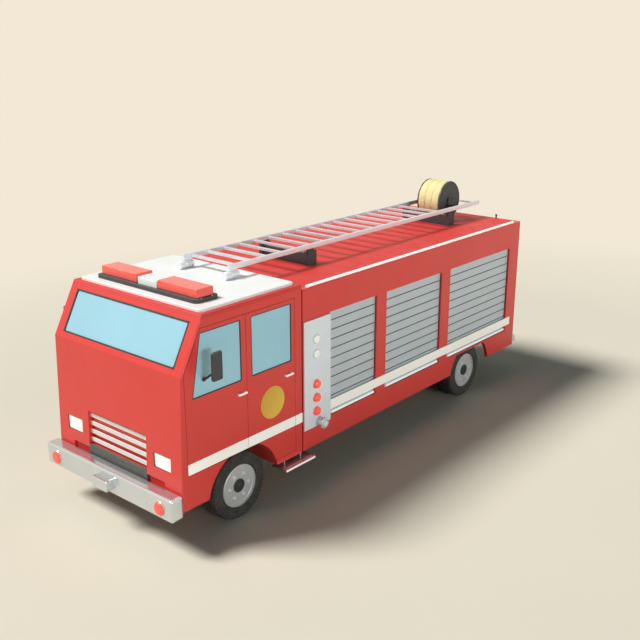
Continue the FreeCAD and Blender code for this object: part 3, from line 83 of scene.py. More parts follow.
def ramp(tree, value, low, high, start, end):
    """Colour ramp between two colours or two grey levels."""
    node = tree.nodes.new("ShaderNodeValToRGB")
    node.color_ramp.elements[0].position = start
    node.color_ramp.elements[1].position = end
    for element, level in zip(node.color_ramp.elements, (low, high)):
        element.color = (*level, 1) if isinstance(level, tuple) else (level, level, level, 1)
    tree.links.new(value, node.inputs["Fac"])
    return node.outputs["Color"]


def mix(tree, factor, a, b, mode="MIX"):
    """Mix of two colours; each input may be a socket or a constant."""
    node = tree.nodes.new("ShaderNodeMix")
    node.data_type = "RGBA"
    node.blend_type = mode
    for socket, value in ((node.inputs[0], factor), (node.inputs[6], a), (node.inputs[7], b)):
        if isinstance(value, bpy.types.NodeSocket):
            tree.links.new(value, socket)
        elif isinstance(value, tuple):
            socket.default_value = (*value, 1)
        else:
            socket.default_value = value
    return node.outputs[2]


def maths(tree, kind, a, b=0.0):
    """One step of arithmetic; each input may be a socket or a number."""
    node = tree.nodes.new("ShaderNodeMath")
    node.operation = kind
    for socket, value in zip(node.inputs, (a, b)):
        if isinstance(value, bpy.types.NodeSocket):
            tree.links.new(value, socket)
        else:
            socket.default_value = value
    return node.outputs[0]


def bump(tree, shader, height, strength, distance):
    """Fine relief on a shader's surface."""
    node = tree.nodes.new("ShaderNodeBump")
    node.inputs["Strength"].default_value = strength
    node.inputs["Distance"].default_value = distance
    tree.links.new(height, node.inputs["Height"])
    tree.links.new(node.outputs["Normal"], shader.inputs["Normal"])


def give_glow(tree, shader, base, glow):
    """Some light of the surface's own colour: a lamp's light on lit lenses; on paint, a painted glow, a
    painted highlight that also lifts its shade.
    """
    if glow:
        tree.links.new(base, shader.inputs["Emission Color"])
        shader.inputs["Emission Strength"].default_value = glow


def axis_part(tree, vector, axis):
    """X, Y or Z part of a vector, for axis 0, 1 or 2."""
    node = tree.nodes.new("ShaderNodeSeparateXYZ")
    tree.links.new(vector, node.inputs[0])
    return node.outputs[axis]


def facing_up(tree):
    """1 on faces that look up, 0 on walls."""
    geometry = tree.nodes.new("ShaderNodeNewGeometry")
    return axis_part(tree, geometry.outputs["Normal"], 2)


def edge_wear(tree, radius=0.012):
    """Bright along sharp convex edges."""
    bevel = tree.nodes.new("ShaderNodeBevel")
    bevel.samples = 4
    bevel.inputs["Radius"].default_value = radius
    geometry = tree.nodes.new("ShaderNodeNewGeometry")
    dot = tree.nodes.new("ShaderNodeVectorMath")
    dot.operation = "DOT_PRODUCT"
    tree.links.new(bevel.outputs["Normal"], dot.inputs[0])
    tree.links.new(geometry.outputs["Normal"], dot.inputs[1])
    return ramp(tree, dot.outputs["Value"], 1.0, 0.0, 0.82, 0.995)


def paint(name, colour, rough, coat, dust, tone=0.06, glow=0.0):
    """Sprayed vehicle paint: faint orange peel, uneven tone, road dust low down, lighter edges."""
    mat, tree, shader = new_material(name)
    place = coords(tree)
    deep = tuple(c * (1 - tone) for c in colour)
    base = mix(tree, ramp(tree, noise(tree, place, 1.3, 3), 0.0, 1.0, 0.3, 0.7), colour, deep)
    speck = ramp(tree, noise(tree, place, 90, 2), 0.97, 1.03, 0.3, 0.7)
    base = mix(tree, 1.0, base, speck, "MULTIPLY")
    height = axis_part(tree, place, 2)
    low = maths(tree, "MULTIPLY", ramp(tree, height, 1.0, 0.0, 0.45, 0.95),
                ramp(tree, noise(tree, place, 5, 6, 0.65), 0.0, 1.0, 0.35, 0.75))
    low = maths(tree, "MULTIPLY", low, dust)
    base = mix(tree, low, base, (0.36, 0.29, 0.22))
    bright = tuple(min(1.0, c * 1.25 + 0.02) for c in colour)
    base = mix(tree, maths(tree, "MULTIPLY", edge_wear(tree), 0.35), base, bright)
    tree.links.new(base, shader.inputs["Base Color"])
    # Any glow on paint is painted light: a painted highlight that also lifts the paint in shade.
    give_glow(tree, shader, base, glow)
    smear = ramp(tree, noise(tree, place, 3.5, 5, 0.6), rough * 0.85, rough * 1.2, 0.3, 0.7)
    tree.links.new(maths(tree, "ADD", smear, maths(tree, "MULTIPLY", low, 0.4)),
                   shader.inputs["Roughness"])
    shader.inputs["Coat Weight"].default_value = coat
    shader.inputs["Coat Roughness"].default_value = 0.12
    bump(tree, shader, noise(tree, place, 160, 2, 0.5), 0.05, 0.002)
    return mat


def metal(name, colour, rough, brushed=(1, 1, 1), scratch=0.25, metallic=1.0, stain=0.1, painted_top_shade=0.0,
          bright_edge=0.006):
    """Metal with brush marks along one axis, smudges and wear on its edges; painted shade with a red tint,
    a painted reflection of the body, darkens its upper faces.
    """
    mat, tree, shader = new_material(name)
    place = coords(tree)
    streak = noise(tree, mapping(tree, place, brushed), 32, 3, 0.55)
    smudge = noise(tree, place, 4, 4, 0.55)
    dull = tuple(c * (1 - stain) for c in colour)
    base = mix(tree, ramp(tree, smudge, 0.0, 1.0, 0.35, 0.75), colour, dull)
    base = mix(tree, maths(tree, "MULTIPLY", ramp(tree, streak, 0.0, 1.0, 0.3, 0.7), stain), base,
               tuple(min(1.0, c * 1.12) for c in colour))
    base = mix(tree, maths(tree, "MULTIPLY", edge_wear(tree, bright_edge), 0.4), base,
               tuple(min(1.0, c * 1.2 + 0.03) for c in colour))
    # Painted shade on the upper faces, tinted red as a painted reflection of the red body.
    if painted_top_shade:
        up = ramp(tree, facing_up(tree), 0.0, painted_top_shade, 0.6, 1.0)
        base = mix(tree, up, base, (0.30, 0.22, 0.22))
    tree.links.new(base, shader.inputs["Base Color"])
    shader.inputs["Metallic"].default_value = metallic
    spread = maths(tree, "ADD", maths(tree, "MULTIPLY", streak, scratch * 0.5),
                   maths(tree, "MULTIPLY", smudge, scratch * 0.5))
    tree.links.new(maths(tree, "ADD", spread, rough - scratch * 0.5), shader.inputs["Roughness"])
    bump(tree, shader, noise(tree, mapping(tree, place, brushed), 24, 1, 0.4), 0.03, 0.001)
    return mat


def moulding(name, colour, rough=0.55, grain=420, depth=0.12, dust=0.25):
    """Grained plastic or rubber with dust on its upper faces."""
    mat, tree, shader = new_material(name)
    place = coords(tree)
    mottle = ramp(tree, noise(tree, place, 14, 5, 0.6), 0.82, 1.12, 0.3, 0.7)
    base = mix(tree, 1.0, colour, mottle, "MULTIPLY")
    up = ramp(tree, facing_up(tree), 0.0, 1.0, 0.3, 1.0)
    fall = maths(tree, "MULTIPLY", up, ramp(tree, noise(tree, place, 9, 6, 0.65), 0.2, 1.0, 0.3, 0.7))
    base = mix(tree, maths(tree, "MULTIPLY", fall, dust), base, (0.30, 0.27, 0.23))
    base = mix(tree, maths(tree, "MULTIPLY", edge_wear(tree, 0.005), 0.25), base,
               tuple(min(1.0, c * 1.8 + 0.03) for c in colour))
    tree.links.new(base, shader.inputs["Base Color"])
    tree.links.new(ramp(tree, noise(tree, place, 25, 4), rough - 0.08, rough + 0.1, 0.3, 0.7),
                   shader.inputs["Roughness"])
    bump(tree, shader, noise(tree, place, grain, 3, 0.6), depth, 0.002)
    return mat


def lens(name, colour, glow, ribs):
    """Moulded lamp lens with flutes inside."""
    mat, tree, shader = new_material(name)
    place = coords(tree)
    wave = tree.nodes.new("ShaderNodeTexWave")
    wave.inputs["Scale"].default_value = 1.0
    tree.links.new(mapping(tree, place, ribs), wave.inputs["Vector"])
    flute = wave.outputs["Fac"]
    tone = ramp(tree, flute, tuple(c * 0.86 for c in colour), colour, 0.0, 1.0)
    cloud = ramp(tree, noise(tree, place, 12, 3), 0.94, 1.04, 0.3, 0.7)
    base = mix(tree, 1.0, tone, cloud, "MULTIPLY")
    tree.links.new(base, shader.inputs["Base Color"])
    shader.inputs["Roughness"].default_value = 0.18
    shader.inputs["Coat Weight"].default_value = 0.6
    shader.inputs["Coat Roughness"].default_value = 0.06
    shader.inputs["Subsurface Weight"].default_value = 0.15
    shader.inputs["Subsurface Radius"].default_value = (0.02, 0.008, 0.006)
    give_glow(tree, shader, base, glow)
    bump(tree, shader, flute, 0.25, 0.004)
    return mat


def glass(name, colour):
    """Tinted safety glass, deep in tone, with a faint wave and patches of haze."""
    mat, tree, shader = new_material(name)
    place = coords(tree)
    tone = ramp(tree, noise(tree, place, 0.9, 2), tuple(c * 0.94 for c in colour), colour, 0.3, 0.7)
    haze = maths(tree, "MULTIPLY", ramp(tree, noise(tree, place, 7, 6, 0.7), 0.0, 1.0, 0.45, 0.8), 0.08)
    base = mix(tree, haze, tone, (0.8, 0.78, 0.72))
    tree.links.new(base, shader.inputs["Base Color"])
    tree.links.new(ramp(tree, noise(tree, place, 5, 4), 0.05, 0.12, 0.3, 0.7),
                   shader.inputs["Roughness"])
    shader.inputs["Specular IOR Level"].default_value = 0.6
    shader.inputs["Coat Weight"].default_value = 0.5
    shader.inputs["Coat Roughness"].default_value = 0.04
    bump(tree, shader, noise(tree, place, 2.2, 2), 0.03, 0.004)
    return mat


def woven_hose(name, colour):
    """Flat hose jacket wound round X: weave across and along the turns, with patches of soil."""
    mat, tree, shader = new_material(name)
    place = mapping(tree, coords(tree), shift=(0, -REEL_Y, -REEL_Z))
    along = maths(tree, "ARCTAN2", axis_part(tree, place, 1), axis_part(tree, place, 2))
    across = axis_part(tree, place, 0)
    warp = maths(tree, "SINE", maths(tree, "MULTIPLY", along, 420))
    weft = maths(tree, "SINE", maths(tree, "MULTIPLY", across, 1500))
    weave = maths(tree, "MULTIPLY", warp, weft)
    soil = ramp(tree, noise(tree, place, 7, 5, 0.6), 0.90, 1.03, 0.3, 0.7)
    base = mix(tree, ramp(tree, weave, 0.0, 1.0, 0.2, 0.8), tuple(c * 0.93 for c in colour), colour)
    base = mix(tree, 1.0, base, soil, "MULTIPLY")
    tree.links.new(base, shader.inputs["Base Color"])
    shader.inputs["Roughness"].default_value = 0.78
    shader.inputs["Sheen Weight"].default_value = 0.25
    bump(tree, shader, weave, 0.25, 0.0012)
    return mat


def rubber(name, colour):
    """Tyre rubber: mottled and grained, with dusty scuffs."""
    mat, tree, shader = new_material(name)
    place = coords(tree)
    mottle = ramp(tree, noise(tree, place, 18, 6, 0.65), 0.75, 1.3, 0.3, 0.7)
    base = mix(tree, 1.0, colour, mottle, "MULTIPLY")
    scuff = maths(tree, "MULTIPLY", ramp(tree, noise(tree, place, 6, 7, 0.7), 0.0, 1.0, 0.42, 0.75), 0.22)
    base = mix(tree, scuff, base, (0.20, 0.18, 0.15))
    tree.links.new(base, shader.inputs["Base Color"])
    tree.links.new(ramp(tree, noise(tree, place, 30, 4), 0.62, 0.85, 0.3, 0.7),
                   shader.inputs["Roughness"])
    bump(tree, shader, noise(tree, place, 260, 4, 0.7), 0.18, 0.002)
    return mat


# Materials

red_paint = paint("red_paint", (0.75, 0.040, 0.032), rough=0.38, coat=0.2, dust=0.12)
# Roof red: a darker copy of the red paint, painted shade on the strongly lit roofs.
roof_red_painted_shade = paint("red_roof_paint", (0.68, 0.040, 0.034), rough=0.55, coat=0.0, dust=0.0)
white_paint = paint("white_paint", (0.94, 0.94, 0.925), rough=0.45, coat=0.1, dust=0.15, tone=0.03)
# White with a painted glow: painted highlight on the handle bars, lift bars, side rails and step edges.
white_painted_glow = paint("white_painted_glow", (0.96, 0.96, 0.955), rough=0.25, coat=0.5, dust=0.0, tone=0.02,
                     glow=0.28)
# Cream tape with a painted glow: painted light that lifts the tape where it lies in shade.
cream_tape_painted_glow = paint("cream_tape_painted_glow", (0.91, 0.875, 0.80), rough=0.45, coat=0.1, dust=0.15, tone=0.04, glow=0.18)
black_plastic = moulding("black_plastic", (0.046, 0.047, 0.049))
apron_coat = moulding("apron_coat", (0.085, 0.092, 0.082), rough=0.6, dust=0.15)
trim_plastic = moulding("trim_plastic", (0.07, 0.072, 0.076), rough=0.62, grain=300, depth=0.2, dust=0.1)
seal_rubber = moulding("seal_rubber", (0.026, 0.027, 0.029), rough=0.65, grain=150, depth=0.05, dust=0.1)
joint_rubber = moulding("joint_rubber", (0.075, 0.095, 0.105), rough=0.6, grain=200, depth=0.05, dust=0.0)
hub_black = moulding("hub_black", (0.030, 0.030, 0.032), rough=0.42, grain=500, depth=0.05, dust=0.15)
reel_black = moulding("reel_black", (0.040, 0.046, 0.051), rough=0.5, grain=380, depth=0.04, dust=0.1)
bright_metal = metal("bright_metal", (0.90, 0.925, 0.95), 0.34, (1, 0.06, 1), metallic=0.12, stain=0.05)
ladder_metal = metal("ladder_metal", (0.84, 0.875, 0.93), 0.30, (1, 0.06, 1), scratch=0.12,
                     metallic=0.4, stain=0.04, bright_edge=0.002)
rung_metal = metal("rung_metal", (0.44, 0.455, 0.49), 0.45, (0.06, 1, 1), scratch=0.12,
                   metallic=0.4, stain=0.06, bright_edge=0.002)
slat_metal = metal("slat_metal", (0.82, 0.82, 0.80), 0.38, (0.06, 1, 1), metallic=0.35, stain=0.05)
nut_metal = metal("nut_metal", (0.70, 0.70, 0.69), 0.30, metallic=0.8, stain=0.06)
lamp_rim = metal("lamp_rim", (0.66, 0.66, 0.65), 0.25, metallic=0.9, scratch=0.1, stain=0.05)
panel_metal = metal("panel_metal", (0.81, 0.87, 0.94), 0.40, (1, 1, 0.08), metallic=0.2, stain=0.05)
# Chrome: its upper faces get painted shade tinted red, a painted reflection of the body.
chrome = metal("chrome", (0.71, 0.76, 0.79), 0.13, (0.08, 1, 1), scratch=0.06, stain=0.05,
               metallic=0.78, painted_top_shade=0.35)
mirror_glass = metal("mirror_glass", (0.85, 0.87, 0.88), 0.05, scratch=0.04, stain=0.03)
frame_steel = paint("frame_steel", (0.035, 0.036, 0.037), rough=0.5, coat=0.0, dust=0.45)
dark_metal = metal("dark_metal", (0.10, 0.105, 0.105), 0.5, metallic=0.6)
blue_glass = glass("blue_glass", (0.335, 0.645, 0.785))
red_lens = lens("red_lens", (0.95, 0.085, 0.055), glow=0.46, ribs=(0, 0, 60))
roof_lens = lens("roof_lens", (0.92, 0.086, 0.062), glow=0.20, ribs=(30, 0, 0))
white_lens = lens("white_lens", (0.95, 0.95, 0.93), glow=0.25, ribs=(24, 0, 0))
panel_lens = lens("panel_lens", (0.93, 0.94, 0.89), glow=0.24, ribs=(0, 30, 0))
tyre_rubber = rubber("tyre_rubber", (0.018, 0.018, 0.020))
wheel_paint = metal("wheel_paint", (0.56, 0.575, 0.58), 0.40, metallic=0.3, stain=0.08)
shutter_metal = metal("shutter_metal", (0.555, 0.61, 0.65), 0.42, (1, 0.05, 1), metallic=0.15, stain=0.05)
runner_metal = metal("runner_metal", (0.40, 0.43, 0.435), 0.45, (1, 1, 0.05), metallic=0.5)
seat_fabric = moulding("seat_fabric", (0.055, 0.06, 0.075), rough=0.85, grain=900, depth=0.3)
hose_weave = woven_hose("hose_weave", (0.96, 0.85, 0.41))
gold = metal("gold", (0.80, 0.50, 0.065), 0.42, metallic=0.2, stain=0.10)
floor_plate = metal("floor_plate", (0.42, 0.43, 0.43), 0.45, metallic=0.7)

SLOT_MATERIALS = {
    "red_paint": red_paint, "white_paint": white_paint, "black_plastic": black_plastic,
    "bright_metal": bright_metal, "chrome": chrome, "frame_steel": frame_steel,
    "dark_metal": dark_metal, "blue_glass": blue_glass, "red_lens": red_lens,
    "white_lens": white_lens, "tyre_rubber": tyre_rubber, "wheel_paint": wheel_paint,
    "shutter_metal": shutter_metal, "seat_fabric": seat_fabric, "yellow_hose": hose_weave,
}
NODE_MATERIALS = {
    # Both roofs take the darker roof red: painted shade.
    "body_roof": roof_red_painted_shade, "cab_roof": roof_red_painted_shade, "light_bar_lenses": roof_lens,
    "white_lamps": panel_lens, "pump_panels": panel_metal, "body_floor": floor_plate,
    # Lift bars and side rails take the white with a painted glow, a painted highlight.
    "front_apron": apron_coat, "grille": slat_metal, "hose_reel": reel_black, "lift_bars": white_painted_glow,
    "ladder": ladder_metal, "side_rails": white_painted_glow,
    # Side bands: the cream tape with a painted glow, painted light.
    "side_bands": cream_tape_painted_glow, "dashboard": trim_plastic, "steering_wheel": trim_plastic,
}


def dress(obj, mat):
    obj.data.materials.clear()
    obj.data.materials.append(mat)


for entry in frame["record"]["subparts"]:
    name = entry["node"]
    dress(nodes[name], NODE_MATERIALS.get(name, SLOT_MATERIALS[entry["material_slot"]]))


# Shaping helpers

# Edges sharper than this stay sharp; all others are smoothed.
CREASE = math.radians(38)


def joined(parts):
    """One mesh from several."""
    whole = bmesh.new()
    for part in parts:
        scrap = bpy.data.meshes.new("scrap")
        part.to_mesh(scrap)
        part.free()
        whole.from_mesh(scrap)
        bpy.data.meshes.remove(scrap)
    return whole


def moved(bm, matrix):
    bmesh.ops.transform(bm, matrix=matrix, verts=bm.verts)
    return bm


def at(bm, x, y, z):
    return moved(bm, Matrix.Translation((x, y, z)))


def other_side(bm):
    """The same shape mirrored to the vehicle's right."""
    twin = bm.copy()
    bmesh.ops.scale(twin, vec=(-1, 1, 1), verts=twin.verts)
    bmesh.ops.reverse_faces(twin, faces=twin.faces)
    return twin


def both(bm):
    return [bm, other_side(bm)]


def round_off(bm, edges, offset, segments=2):
    bmesh.ops.bevel(bm, geom=edges, offset=offset, segments=segments, profile=0.5,
                    affect="EDGES", material=-1, clamp_overlap=True)


def block(size, centre, edge, segments=2):
    """Block with rounded edges."""
    bm = bmesh.new()
    bmesh.ops.create_cube(bm, size=1.0)
    bmesh.ops.scale(bm, vec=size, verts=bm.verts)
    round_off(bm, list(bm.edges), edge, segments)
    return at(bm, *centre)


def turned(profile, steps, closed=False):
    """Profile of (radius, height) points spun round Z."""
    bm = bmesh.new()
    verts = [bm.verts.new((radius, 0, height)) for radius, height in profile]
    edges = [bm.edges.new(pair) for pair in zip(verts, verts[1:])]
    if closed:
        edges.append(bm.edges.new((verts[-1], verts[0])))
    bmesh.ops.spin(bm, geom=verts + edges, cent=(0, 0, 0), axis=(0, 0, 1),
                   angle=2 * math.pi, steps=steps, use_merge=True)
    bmesh.ops.remove_doubles(bm, verts=bm.verts, dist=1e-6)
    bmesh.ops.recalc_face_normals(bm, faces=bm.faces)
    return bm


def disc(radius, thick, edge, steps):
    """Round plate on the XY plane with a rounded upper rim."""
    return turned([(0, 0), (radius, 0), (radius, thick - edge), (radius - edge * 0.3, thick - edge * 0.3),
                   (radius - edge, thick), (0, thick)], steps)


def ring(inner, outer, thick, edge, steps):
    """Flat ring on the XY plane with rounded upper rims."""
    return turned([(inner, 0), (outer, 0), (outer, thick - edge), (outer - edge, thick),
                   (inner + edge, thick), (inner, thick - edge)], steps, closed=True)


def panel(points, thick, corner=0.0, edge=0.0, border=0.0):
    """Flat plate on the XY plane; with a border only that frame round its edge is left."""
    bm = bmesh.new()
    bm.faces.new([bm.verts.new((x, y, 0)) for x, y in points])
    if corner:
        bmesh.ops.bevel(bm, geom=list(bm.verts), offset=corner, segments=5, profile=0.5,
                        affect="VERTICES", material=-1)
    if border:
        middle = list(bm.faces)
        bmesh.ops.inset_region(bm, faces=middle, thickness=border, use_boundary=True, use_even_offset=True)
        bmesh.ops.delete(bm, geom=middle, context="FACES")
    raised = bmesh.ops.extrude_face_region(bm, geom=list(bm.faces))["geom"]
    bmesh.ops.translate(bm, vec=(0, 0, thick),
                        verts=[v for v in raised if isinstance(v, bmesh.types.BMVert)])
    bmesh.ops.recalc_face_normals(bm, faces=bm.faces)
    if edge:
        rim = [e for e in bm.edges if all(v.co.z > thick / 2 for v in e.verts)
               and e.calc_face_angle(0) > 1]
        round_off(bm, rim, edge)
    return bm


def box_corners(x0, x1, y0, y1):
    return [(x0, y0), (x1, y0), (x1, y1), (x0, y1)]


def left_wall(x):
    """A shape on the XY plane goes on the left wall: its X along +Y, its Y up, its Z outward."""
    return Matrix(((0, 0, 1, x), (1, 0, 0, 0), (0, 1, 0, 0), (0, 0, 0, 1)))


def front_wall(y):
    """The same for the front wall, outward to -Y."""
    return Matrix(((1, 0, 0, 0), (0, 0, -1, y), (0, 1, 0, 0), (0, 0, 0, 1)))


def rear_wall(y):
    """The same for the rear wall, outward to +Y."""
    return Matrix(((-1, 0, 0, 0), (0, 0, 1, y), (0, 1, 0, 0), (0, 0, 0, 1)))


def circle_of(bm, count, radius, height=0.0, first_deg=0.0):
    """Copies of a shape, evenly placed on a circle round Z."""
    turns = [math.radians(first_deg + 360 * i / count) for i in range(count)]
    return [at(bm.copy(), radius * math.cos(turn), radius * math.sin(turn), height) for turn in turns]


def hex_nut(across, thick):
    """Nut with its stud and washer, standing on the XY plane."""
    nut = bmesh.new()
    bmesh.ops.create_cone(nut, cap_ends=True, segments=6, radius1=across, radius2=across, depth=thick)
    round_off(nut, [e for e in nut.edges if e.verts[0].co.z > 0 and e.verts[1].co.z > 0], thick * 0.18)
    at(nut, 0, 0, thick / 2 + thick * 0.2)
    washer = disc(across * 1.25, thick * 0.25, thick * 0.08, 18)
    stud = disc(across * 0.5, thick * 1.6, thick * 0.2, 12)
    return joined([nut, washer, stud])


def screw_head(radius, proud):
    """Low domed screw head on the XY plane, with its slot ring."""
    return turned([(0, 0), (radius, 0), (radius * 0.95, proud * 0.5), (radius * 0.6, proud * 0.95),
                   (radius * 0.32, proud), (radius * 0.28, proud * 0.7), (0, proud * 0.7)], 12)


def show(name, bm, mat, body, replaces=()):
    """Piece of the vehicle from a finished mesh."""
    mesh = bpy.data.meshes.new(name)
    bm.to_mesh(mesh)
    bm.free()
    mesh.shade_smooth()
    mesh.set_sharp_from_angle(angle=CREASE)
    piece = bpy.data.objects.new(name, mesh)
    bpy.context.scene.collection.objects.link(piece)
    dress(piece, mat)
    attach(piece, body)
    if replaces:
        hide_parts(*replaces)
    return piece


def show_both(name, left_bm, mat, body, replaces=()):
    """The same piece on both sides; body and replaced nodes end in the side's name."""
    for bm, side in zip(both(left_bm), SIDES):
        whole = body if body == "vehicle" else f"{body}_{side}"
        show(f"{name}_{side}", bm, mat, whole, [f"{node}_{side}" for node in replaces])


# Wheels

WHEEL_Z = 0.467
FRONT_AXLE_Y = -2.9025
REAR_AXLE_Y = 2.5975
DISC_X = 1.134
TYRE_X = 1.02
TWIN_TYRE_X = 0.696
TREAD_STEPS = 108
NUT_CIRCLE = 0.170


def tyre():
    """Tyre round Z, its middle at zero: ribbed tread, open shoulders, raised rings on the flanks."""
    flank = [(0.2925, 0.108), (0.296, 0.122), (0.306, 0.1305), (0.316, 0.1355), (0.322, 0.1375),
             (0.328, 0.1355), (0.350, 0.1385), (0.378, 0.1392), (0.396, 0.1375), (0.399, 0.1392),
             (0.405, 0.1388), (0.408, 0.1362), (0.425, 0.1315), (0.4435, 0.1265), (0.4580, 0.1205),
             (0.4640, 0.1080)]
    tread = [(0.4655, 0.0770), (0.4555, 0.0745), (0.4555, 0.0685), (0.4661, 0.0660),
             (0.4667, 0.0285), (0.4560, 0.0260), (0.4560, 0.0200), (0.4669, 0.0175)]
    half = flank + tread
    section = [(r, -h) for r, h in half] + [(r, h) for r, h in reversed(half)]
    bm = turned(section, TREAD_STEPS, closed=True)
    step = 2 * math.pi / TREAD_STEPS

    def cut(low, high, inner_r, parity, depth):
        picked = []
        for face in bm.faces:
            middle = face.calc_center_median()
            radius = math.hypot(middle.x, middle.y)
            index = int(math.atan2(middle.y, middle.x) / step + TREAD_STEPS) % 2
            if low < abs(middle.z) < high and radius > inner_r and index == parity:
                picked.append(face)
        bmesh.ops.inset_region(bm, faces=picked, thickness=0.0035, depth=-depth, use_even_offset=True)

    cut(0.080, 0.128, 0.447, 0, 0.007)
    cut(0.030, 0.064, 0.4640, 1, 0.005)
    cut(-0.01, 0.0160, 0.4640, 0, 0.004)
    return bm


def lugs():
    """Six nuts on the disc, round Z."""
    return joined(circle_of(hex_nut(0.0170, 0.020), 6, NUT_CIRCLE, first_deg=30))


def hub_cap():
    """Domed cap over the hub, with its own small screws."""
    cap = turned([(0.0935, 0), (0.0938, 0.012), (0.0905, 0.0152), (0.070, 0.0165), (0.066, 0.0150),
                  (0.046, 0.0156), (0.042, 0.0235), (0.036, 0.0255), (0, 0.0262)], 48)
    return joined([cap] + circle_of(screw_head(0.0045, 0.003), 8, 0.080, height=0.0157))


def valve():
    """Valve stem through the disc."""
    stem = turned([(0, 0), (0.0055, 0), (0.0055, 0.004), (0.0035, 0.006), (0.0035, 0.024),
                   (0.0048, 0.025), (0.0048, 0.034), (0, 0.0345)], 12)
    return at(stem, 0.236, 0, 0)


def rim_dressing():
    """Pressed beads round the rim of the disc and inside its circle of nuts."""
    outer = turned([(0.262, -0.001), (0.262, 0.002), (0.257, 0.0045), (0.252, 0.002), (0.252, -0.001)],
                   72, closed=True)
    inner = turned([(0.128, -0.001), (0.128, 0.0015), (0.124, 0.003), (0.120, 0.0015), (0.120, -0.001)],
                   60, closed=True)
    return joined([outer, inner])


def on_axle(bm, x, y):
    """From round Z to round the wheel's own line, outer face to the left."""
    return moved(bm, Matrix.Translation((x, y, WHEEL_Z)) @ Matrix.Rotation(math.pi / 2, 4, "Y"))


def wheels():
    for end, node, y, places in (("front", "front_tyre", FRONT_AXLE_Y, (TYRE_X,)),
                                 ("rear", "rear_tyres", REAR_AXLE_Y, (TYRE_X, TWIN_TYRE_X))):
        wheel = f"{end}_wheel"
        tyres = joined([on_axle(tyre(), x, y) for x in places])
        show_both(f"{end}_tyre_tread", tyres, tyre_rubber, wheel, [node])
        for piece, shape, mat, slot in (("wheel_nuts", lugs, bright_metal, "bright_metal"),
                                        ("hub_cap", hub_cap, hub_black, "black_plastic"),
                                        ("disc_beads", rim_dressing, wheel_paint, "wheel_paint"),
                                        ("valve", valve, nut_metal, "bright_metal")):
            show_both(f"{end}_{piece}", on_axle(shape(), DISC_X, y), mat, wheel)


# Doors

SKIN_X = 1.25
HANDLE_Z = 1.79
TAPE_LOW, TAPE_HIGH = 1.010, 1.150
CARD_LOW, CARD_HIGH = 1.14, 1.88
SILL_Z, WINDOW_TOP_Z = 1.955, 2.75
FRONT_WINDOW = [(-3.7265, SILL_Z), (-2.9035, SILL_Z), (-2.9035, WINDOW_TOP_Z), (-3.5725, WINDOW_TOP_Z)]
REAR_WINDOW = box_corners(-2.7275, -1.9875, SILL_Z, WINDOW_TOP_Z)


def window_seal(outline):
    """Rubber frame in the step between the pane and the door skin."""
    return moved(panel(outline, 0.0108, corner=0.022, edge=0.002, border=0.013), left_wall(1.2402))


def door_handle(middle_y):
    """Grab handle: bar on two feet, over a shallow cup."""
    cup = moved(panel(box_corners(-0.093, 0.093, -0.032, 0.032), 0.0022, corner=0.026, edge=0.0008),
                left_wall(SKIN_X))
    bar = block((0.017, 0.146, 0.027), (1.2805, 0, 0), 0.0078, 4)
    feet = [block((0.030, 0.022, 0.021), (1.266, side * 0.058, 0), 0.004) for side in (1, -1)]
    return at(cup, 0, middle_y, HANDLE_Z), at(joined([bar] + feet), 0, middle_y, HANDLE_Z)


def tape(y0, y1):
    """Length of cream tape on the left wall."""
    return moved(panel(box_corners(y0, y1, TAPE_LOW, TAPE_HIGH), 0.0016, edge=0.0005), left_wall(SKIN_X))


def door_disc():
    """Plain gilt disc with a rolled rim."""
    return turned([(0, 0), (0.22, 0), (0.2205, 0.003), (0.2185, 0.0055), (0.213, 0.0062),
                   (0.2075, 0.0050), (0.204, 0.0032), (0, 0.0032)], 96)


def door_card(y0, y1):
    """Inner trim with an arm rest and a pocket."""
    middle, length, height = (y0 + y1) / 2, y1 - y0, CARD_HIGH - CARD_LOW
    card = moved(panel(box_corners(y0, y1, CARD_LOW, CARD_HIGH), 0.005, corner=0.03, edge=0.0015),
                 left_wall(1.1848))
    rest = block((0.038, length * 0.62, 0.055), (1.166, middle, CARD_LOW + height * 0.74), 0.013, 3)
    pocket = block((0.030, length * 0.55, 0.13), (1.170, middle, CARD_LOW + height * 0.20), 0.010, 3)
    return joined([card, rest, pocket])


def doors():
    """Seals, handles, tape, discs and cards of the doors, and the tape on the post behind them."""
    for end, window in (("front", FRONT_WINDOW), ("rear", REAR_WINDOW)):
        show_both(f"{end}_window_seal", window_seal(window), seal_rubber, f"{end}_door")
    for door, middle_y in (("front_door", -2.9155), ("rear_door", -2.054)):
        cup, bar = door_handle(middle_y)
        show_both(f"{door}_handle_cup", cup, red_paint, door)
        # The white handle bar glows: painted highlight.
        show_both(f"{door}_handle_bar", bar, white_painted_glow, door)
    # The tape glows: painted light that lifts it in shade.
    for name, body, y0, y1 in (("front_door_tape", "front_door", -3.8368, -2.8192),
                               ("rear_door_tape", "rear_door", -2.8118, -1.9232),
                               ("rear_post_tape", "vehicle", -1.9162, -1.7785)):
        show_both(name, tape(y0, y1), cream_tape_painted_glow, body)
    show_both("rear_door_disc", at(moved(door_disc(), left_wall(SKIN_X)), 0, -2.3585, 1.49), gold,
              "rear_door")
    for door, y0, y1 in (("front_door", -3.70, -2.93), ("rear_door", -2.68, -2.05)):
        show_both(f"{door}_card", door_card(y0, y1), trim_plastic, door)


